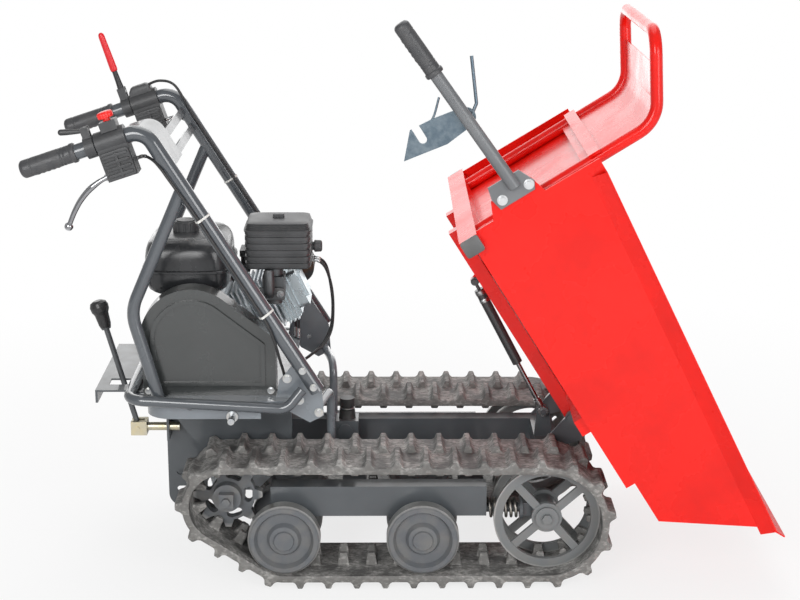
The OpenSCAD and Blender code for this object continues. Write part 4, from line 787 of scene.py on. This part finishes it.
def moulded_grip(origin, axis, under, length, radius, bore, flange):
    """Radius over distance s and angle a: a rounded end, a plain barrel with three pressed rings,
    nubs that rise along the underside as a power of cos a, then a flange with a recessed open face."""
    rounding = np.linspace(0.0, np.pi / 2, 9)
    s = np.concatenate([[0.0], 0.010 * (1 - np.cos(rounding)), np.linspace(0.011, length - 0.0105, 110),
                        length + np.array([-0.0095, -0.008, -0.002, 0.0, 0.0, -0.004, -0.004])])
    rings = sum(np.exp(-((s - at) / 0.0011) ** 2) for at in (length - 0.030, length - 0.023, 0.024))
    r = np.concatenate([[0.0], radius * (0.30 + 0.70 * np.sin(rounding) ** 0.8), np.full(110, radius),
                        [flange - 0.001, flange, flange, flange - 0.0015, bore, bore, 0.0]])
    r = r - 0.0007 * rings * (r > 0.9 * radius)
    turn = full_turn(56)
    window = np.clip((s - 0.022) / 0.006, 0.0, 1.0) * np.clip((length - 0.036 - s) / 0.006, 0.0, 1.0)
    nubs = (window * np.cos(np.pi * s / 0.011) ** 2)[:, None] * np.clip(np.cos(turn), 0.0, 1.0) ** 8
    return lathe(np.stack([s, r], axis=1), origin, axis, 56, under, r[:, None] + 0.0009 * nubs)


grip_rubber = soft_rubber("grip_rubber", (0.058, 0.059, 0.063), 0.22)
grip_start = handle_end - 0.003 * handle_along
both_grips = [moulded_grip(grip_start + y * across, handle_along, -handle_up, 0.118, 0.0185, 0.0163, 0.0202)
              for y in (-handle_y, handle_y)]
handle_grips = make_piece("handle_grips", both_grips, grip_rubber, "chassis")
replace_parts(handle_grips, "grips")

# Control cables: steel inner wire in a black sheath, from the housings and the filter box down to the tray.
# They follow the handle legs, held by nylon straps, with a crimped sleeve at each end.
steer_route = [(-543, -233.2, 904.2), (-527, -240, 909), (-508, -256, 903), (-491, -268, 887),
               (-476, -271.6, 866), (-429.5, -271.6, 798), (-379, -271.6, 716), (-328, -271.6, 634.6),
               (-290, -271.6, 572), (-274, -266, 530), (-264, -246, 482), (-257, -220, 440),
               (-256, -200, 401.4)]
clutch_route = [(-623, 252, 965), (-588, 252, 979), (-555, 244, 991), (-520, 232, 982), (-490, 232, 930),
                (-467, 232, 892), (-433, 232, 838), (-383, 232, 757), (-330, 232, 672), (-290, 231, 606),
                (-262, 228, 540), (-252, 220, 486), (-249, 206, 440), (-249, 190, 401.6)]
upper_loop = [(-202.6, -60, 656), (-190, -60, 655), (-175, -46, 636), (-167, -20, 590), (-163, 0, 535),
              (-168, 10, 482), (-186, 6, 444), (-210, -10, 424), (-236, -36, 412), (-250, -50, 403.4)]
lower_loop = [(-202.6, -84, 656), (-190, -84, 655), (-174, -72, 634), (-163, -46, 585), (-161, -26, 530),
              (-166, -18, 482), (-184, -26, 450), (-208, -46, 436), (-236, -72, 420), (-250, -86, 402.6)]
far_steer_route = np.array(steer_route) * np.array([1.0, -1.0, 1.0])
cable_radius = 0.003
cable_lift = (0.35, 0.90, 0.26)
cable_paths = [through(route, 10) for route in
               (steer_route, far_steer_route, clutch_route, upper_loop, lower_loop)]
sheath_rubber = soft_rubber("cable_sheath", (0.022, 0.022, 0.023), 0.12)
sheaths = [pipe(path, cable_radius, 14, cable_lift) for path in cable_paths]
cables = make_piece("cable_sheaths", sheaths, sheath_rubber, "chassis")
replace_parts(cables, "control_cables")


def crimped_sleeve(path, first, last):
    """A plated sleeve along a stretch of cable: radius 3.9 mm with two pressed waists and rounded ends."""
    stretch = path[first:last + 1]
    s = np.linspace(0.0, 1.0, len(stretch) * 6)
    knots = np.linspace(0.0, 1.0, len(stretch))
    spine = np.stack([np.interp(s, knots, stretch[:, k]) for k in range(3)], axis=1)
    waists = sum(np.exp(-((s - at) / 0.07) ** 2) for at in (0.28, 0.72))
    ends = np.clip(np.minimum(s, 1 - s) / 0.05, 0.0, 1.0)
    return pipe(spine, 0.0033 + 0.0006 * ends - 0.0005 * waists, 20, cable_lift)


sleeves = [crimped_sleeve(path, 0, 12) for path in cable_paths]
sleeves += [crimped_sleeve(path, len(path) - 7, len(path) - 1) for path in cable_paths]
make_piece("cable_sleeves", sleeves, zinc, "chassis")


def strap(tube_at, tube_r, cable_at, cable_r, along):
    """A nylon strap drawn round a tube and a cable. For each direction n across them the strap lies on
    whichever of the two circles reaches furthest along n; its section is 4.6 by 1.2 mm."""
    offset = cable_at - tube_at
    first = offset / np.linalg.norm(offset)
    second = np.cross(along, first)
    turn = full_turn(72)
    n = np.cos(turn)[:, None] * first + np.sin(turn)[:, None] * second
    on_cable = (n @ offset + cable_r > tube_r)[:, None]
    half, low, high = 0.0023, 0.0001, 0.0013
    rows = []
    for sideways, out in ((-half, low), (half, low), (half, high), (-half, high), (-half, low)):
        circle = np.where(on_cable, cable_at + (cable_r + out) * n, tube_at + (tube_r + out) * n)
        rows.append(circle + sideways * along)
    return np.vstack(rows), grid_faces(len(rows), len(turn))


def white_nylon():
    """Off-white nylon, yellowed in patches, with a faint moulded grain."""
    material, place = new_finish("white_nylon")
    grain = noise(place, 700.0)
    yellowed = between(noise(place, 60.0), 0.4, 0.7)
    return wire(
        material,
        Base_Color=blend_colour(yellowed, (0.76, 0.76, 0.73), (0.62, 0.61, 0.57)),
        Roughness=0.40 + 0.15 * grain,
        Normal=bump(grain, 0.15, 0.0003))


leg_top = np.array([-0.52565, 0.0, 0.9645])
leg_foot = np.array([-0.188, 0.0, 0.420])
leg_along = (leg_foot - leg_top) / np.linalg.norm(leg_foot - leg_top)
leg_radius = 0.016
straps = []
for path, side, ties in ((cable_paths[0], -1.0, (0.330, 0.696)), (cable_paths[1], 1.0, (0.367,))):
    for share in ties:
        tube_at = leg_top + share * (leg_foot - leg_top) + side * handle_y * across
        nearest = path[np.argmin(np.abs((path - tube_at) @ leg_along))]
        cable_at = nearest - ((nearest - tube_at) @ leg_along) * leg_along
        straps.append(strap(tube_at, leg_radius, cable_at, cable_radius, leg_along))
make_piece("cable_straps", straps, white_nylon(), "chassis")

# Gear change: a plated shift shaft in the skirt and a painted rod lever with a black moulded knob.
# The lever pivots on the shaft and stands through the window of the gate plate.
dress(bare_steel("gold_zinc", (0.62, 0.58, 0.46), (0.70, 0.62, 0.42), 0.28), "shift_shaft")
lever_axis = sloping(15.2)[1]
knob_start = np.array([-0.583, -0.100, 0.290]) + 0.232 * lever_axis
dress(sleeved_bar("gear_lever_finish", (0.11, 0.115, 0.12), 0.3, (0.024, 0.024, 0.025),
                  knob_start, lever_axis), "gear_lever")

# Skip: folded and welded sheet tub on a box-tube underframe, with a loop handle and a rolled back sheet.
# Bright red gloss enamel all over, scuffed lightly by loads.
# The skip's upward faces are blended a little towards a lighter pink in cloudy patches.
skip_red = enamel("skip_red", (0.86, 0.011, 0.006), (0.70, 0.22, 0.18), 0.04, 0.22, 0.20, 0.0, 0.25)
dress(skip_red, "skip_tub", "skip_underframe", "loop_handle")

# Tube plugs: moulded caps pressed into the open ends of the skip's rear cross member.
# Dark grey plastic, with a low pillow face and a thin lip over the tube's end.
skip_u, skip_w = sloping(-58.0)
hinge_pin = np.array([0.359, 0.0, 0.308])


def skip_place(u, y, w):
    """Points of the tipped skip in metres: along its floor from the hinge pin, across, and up from it."""
    u, y, w = np.broadcast_arrays(u, y, w)
    return hinge_pin + u[..., None] * skip_u + y[..., None] * across + w[..., None] * skip_w


def pillow_cap(centre, first, second, out, half_first, half_second, height):
    """A low cap with a rounded-square outline: (|x|/a)^8 + (|y|/b)^8 = 1 scaled down as the face rises."""
    x, y = squarish(full_turn(64), 0.25)
    outline = half_first * x[:, None] * first + half_second * y[:, None] * second
    rows = np.array([(-0.0005, 0.0), (-0.0005, 1.0), (0.0012, 1.0), (0.0020, 0.985), (0.0025, 0.94),
                     (height, 0.60), (height, 0.0)])
    points = centre + rows[:, :1, None] * out + rows[:, 1:, None] * outline
    return points.reshape(-1, 3), grid_faces(len(rows), len(x))


plug_plastic = moulded_plastic("plug_plastic", (0.085, 0.086, 0.086), 0.42, 1100.0)
plugs = []
for side in (-1.0, 1.0):
    tube_end = skip_place(-0.495, side * 0.3365, 0.033)
    plugs.append(pillow_cap(tube_end, skip_u, skip_w, side * across, 0.0181, 0.0201, 0.0029))
make_piece("cross_member_plugs", plugs, plug_plastic, "skip", 25.0)

# Rim flanges: the tub's side sheets lean out below the rim, as strips folded from the same red sheet.
# Each strip runs from the rear corner to the front corner, from the side's face out to the rim's edge.
rim_rear = np.array([-0.481, 0.334])
rim_front = np.array([0.359, 0.251])
rim_along = (rim_front - rim_rear) / np.linalg.norm(rim_front - rim_rear)
rim_down = np.array([rim_along[1], -rim_along[0]])
rim_edge = rim_rear + np.linspace(0.0, 1.0, 12)[:, None] * (rim_front - rim_rear)
# Section of a strip: distance from the skip's middle, and depth below the rim
fold = np.array([(0.3300, 0.0032), (0.3201, 0.0181), (0.3102, 0.0330), (0.3086, 0.0328), (0.3186, 0.0178),
                 (0.3284, 0.0032)])
rim_u, rim_w = (rim_edge[:, k:k + 1] + fold[:, 1] * rim_down[k] for k in (0, 1))
flanges = [carried(skip_place(rim_u, side * fold[:, 0], rim_w)) for side in (-1.0, 1.0)]
make_piece("rim_flanges", flanges, skip_red, "skip", 30.0)

# Tip lever: slate tube welded to a bolted plate on the skip's side, with a moulded grip on its end.
# The plated latch hook hangs from a pin through the lever, with its release rod beside it.


def plated_bolts(name, place_list, axis_y):
    """Slate enamel on the lever with bare plated bolt heads round two points in the side view."""
    material, place = new_finish(name)
    near = [place.add("ShaderNodeVectorMath", {"operation": "DISTANCE"},
                      {0: place, 1: (float(p[0]), axis_y, float(p[2]))}, "Value") for p in place_list]
    plated = 1.0 - between(near[0].math("MINIMUM", near[0], near[1]), 0.0105, 0.0110)
    tone = noise(place, 12.0)
    paint = blend_colour(between(tone, 0.35, 0.7), (0.138, 0.144, 0.152), (0.178, 0.185, 0.193))
    return wire(
        material,
        Base_Color=blend_colour(plated, paint, (0.68, 0.69, 0.70)),
        Metallic=plated,
        Roughness=0.30 + 0.12 * tone,
        Normal=bump(noise(place, 620.0, 2.0), 0.06, 0.0006))


lever_bolts = [skip_place(-0.539, 0.0, 0.130), skip_place(-0.539, 0.0, 0.191)]
dress(plated_bolts("lever_enamel", lever_bolts, -0.318), "tip_lever")
galvanised = bare_steel("galvanised", (0.125, 0.165, 0.20), (0.18, 0.22, 0.25), 0.34)
dress(galvanised, "latch_hook")
release_rod = through([(44, -302.5, 991), (49.5, -302.5, 1003), (56.5, -302.5, 1030), (58, -302.5, 1036)], 10)
make_piece("release_rod", [pipe(release_rod, 0.0023, 16, across)], galvanised, "latch")
lever_tip = skip_place(-0.941, -0.320, 0.14183)
lever_root = skip_place(-0.550, -0.320, 0.165)
cover_shape = moulded_grip(lever_tip, lever_root - lever_tip, -skip_w, 0.121, 0.0165, 0.0133, 0.0190)
lever_cover = make_piece("lever_grip_cover", [cover_shape], grip_rubber, "skip")
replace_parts(lever_cover, "lever_grip")

# Gas strut: black tube with a bright band at its upper end, on a ground steel rod.
# Ball sockets hold it between the chassis lug and the underframe.
strut_axis = sloping(117.46)[0]
strut_foot = np.array([0.298, -0.050, 0.305])
dress(enamel("strut_enamel", (0.050, 0.050, 0.052), road_dust, 0.15, 0.26, 0.4), "strut_cylinder")
dress(bare_steel("ground_rod", (0.36, 0.36, 0.37), (0.44, 0.44, 0.45), 0.16), "strut_rod")
band = [(0.0, 0.0109), (0.0, 0.0114), (0.0006, 0.0117), (0.0074, 0.0117), (0.008, 0.0114), (0.008, 0.0109),
        (0.0, 0.0109)]
socket = [(0.0, 0.0), (0.0, 0.0112), (0.0008, 0.0118), (0.0090, 0.0118), (0.0110, 0.0100), (0.0110, 0.0)]
collar = [(0.0, 0.0051), (0.0, 0.0074), (0.0060, 0.0085), (0.0140, 0.0085), (0.0155, 0.0066),
          (0.0200, 0.0066), (0.0200, 0.0051), (0.0, 0.0051)]
band_ring, socket_ring, collar_ring = (
    lathe(profile, strut_foot + reach * strut_axis, strut_axis)
    for profile, reach in ((band, 0.282), (socket, 0.3005), (collar, 0.014)))
make_piece("strut_band", [band_ring, socket_ring], zinc, "strut_cylinder_body")
make_piece("strut_collar", [collar_ring], zinc, "strut_rod_body")

# Studio floor: a pale matt sheet under the carrier, not part of the object.
# It meets the white background and keeps the carrier's shadow.
floor_reach = 40.0
floor_corners = floor_reach * np.array([(-1, -1, 0), (1, -1, 0), (1, 1, 0), (-1, 1, 0)])
floor_mesh = bpy.data.meshes.new("floor")
floor_mesh.from_pydata(floor_corners.tolist(), [], [(0, 1, 2, 3)])
floor = put("floor", floor_mesh)
floor_finish, floor_place = new_finish("pale_floor")
wire(floor_finish, Base_Color=(0.86, 0.86, 0.86, 1.0), Roughness=0.9)
floor_nodes = floor_place.tree.nodes
seen = floor_place.add("ShaderNodeLightPath", {}, {}, "Is Camera Ray")
mirrored = floor_place.add("ShaderNodeLightPath", {}, {}, "Is Glossy Ray")
away = floor_place.add("ShaderNodeVectorMath", {"operation": "LENGTH"}, {0: floor_place}, "Value")
lit = seen * (0.78 + 0.22 * between(away, 0.9, 2.2)) + mirrored * (0.20 + 0.80 * between(away, 4.0, 6.5))
glow = floor_place.add("ShaderNodeEmission", {}, {"Color": (1.0, 1.0, 1.0, 1.0), "Strength": 1.0})
matt = Sock(floor_place.tree, floor_nodes["Principled BSDF"].outputs[0])
mixed = floor_place.add("ShaderNodeMixShader", {}, {0: lit, 1: matt, 2: glow})
floor_place.tree.links.new(mixed.socket, floor_nodes["Material Output"].inputs["Surface"])
floor_mesh.materials.append(floor_finish)

# Studio light: a white surround that lights the carrier softly, and four broad round lamps.
# The lamp behind stands for the white backdrop, which the top faces mirror at a low angle.
world = bpy.data.worlds.new("studio")
bpy.context.scene.world = world
world.use_nodes = True
surround = world.node_tree.nodes["Background"]
surround.inputs["Color"].default_value = (1.0, 1.0, 1.0, 1.0)
camera_ray = Sock(world.node_tree, world.node_tree.nodes.new("ShaderNodeLightPath").outputs["Is Camera Ray"])
clear_ray = camera_ray.add("ShaderNodeLightPath", {}, {}, "Is Transmission Ray")
seen_ray = camera_ray.math("MAXIMUM", camera_ray, clear_ray)
world.node_tree.links.new((0.36 + 0.64 * seen_ray).socket, surround.inputs["Strength"])


def lamp(name, place_at, aim, size, power):
    """A round area lamp turned towards a point."""
    data = bpy.data.lights.new(name, "AREA")
    data.shape = "DISK"
    data.size = size
    data.energy = power
    stand = put(name, data)
    stand.location = place_at
    stand.rotation_euler = (Vector(aim) - Vector(place_at)).to_track_quat("-Z", "Y").to_euler()


lamp("key", (-1.3, -3.6, 1.9), (0.0, 0.0, 0.5), 2.0, 74.0)
lamp("fill", (2.3, -3.2, 1.4), (0.1, 0.0, 0.45), 2.2, 56.0)
lamp("top", (0.2, 0.9, 3.6), (0.0, 0.0, 0.5), 2.8, 36.0)
lamp("backdrop", (0.1, 4.2, 2.2), (0.0, 0.0, 0.9), 6.0, 130.0)

# Camera: the photograph's own viewpoint, fitted to the tracks, handles and skip edges.
# A long lens, level from side to side and looking a little down.
camera_data = bpy.data.cameras.new("photo_camera")
camera_data.sensor_width = 36.0
camera_data.lens = 78.35
camera_data.clip_end = 200.0
camera = put("photo_camera", camera_data)
camera.location = (-0.042, -3.671, 1.549)
camera.rotation_euler = (math.radians(90.0 - 15.30), 0.0, math.radians(-0.41))
bpy.context.scene.camera = camera
bpy.context.scene.view_settings.view_transform = "Standard"
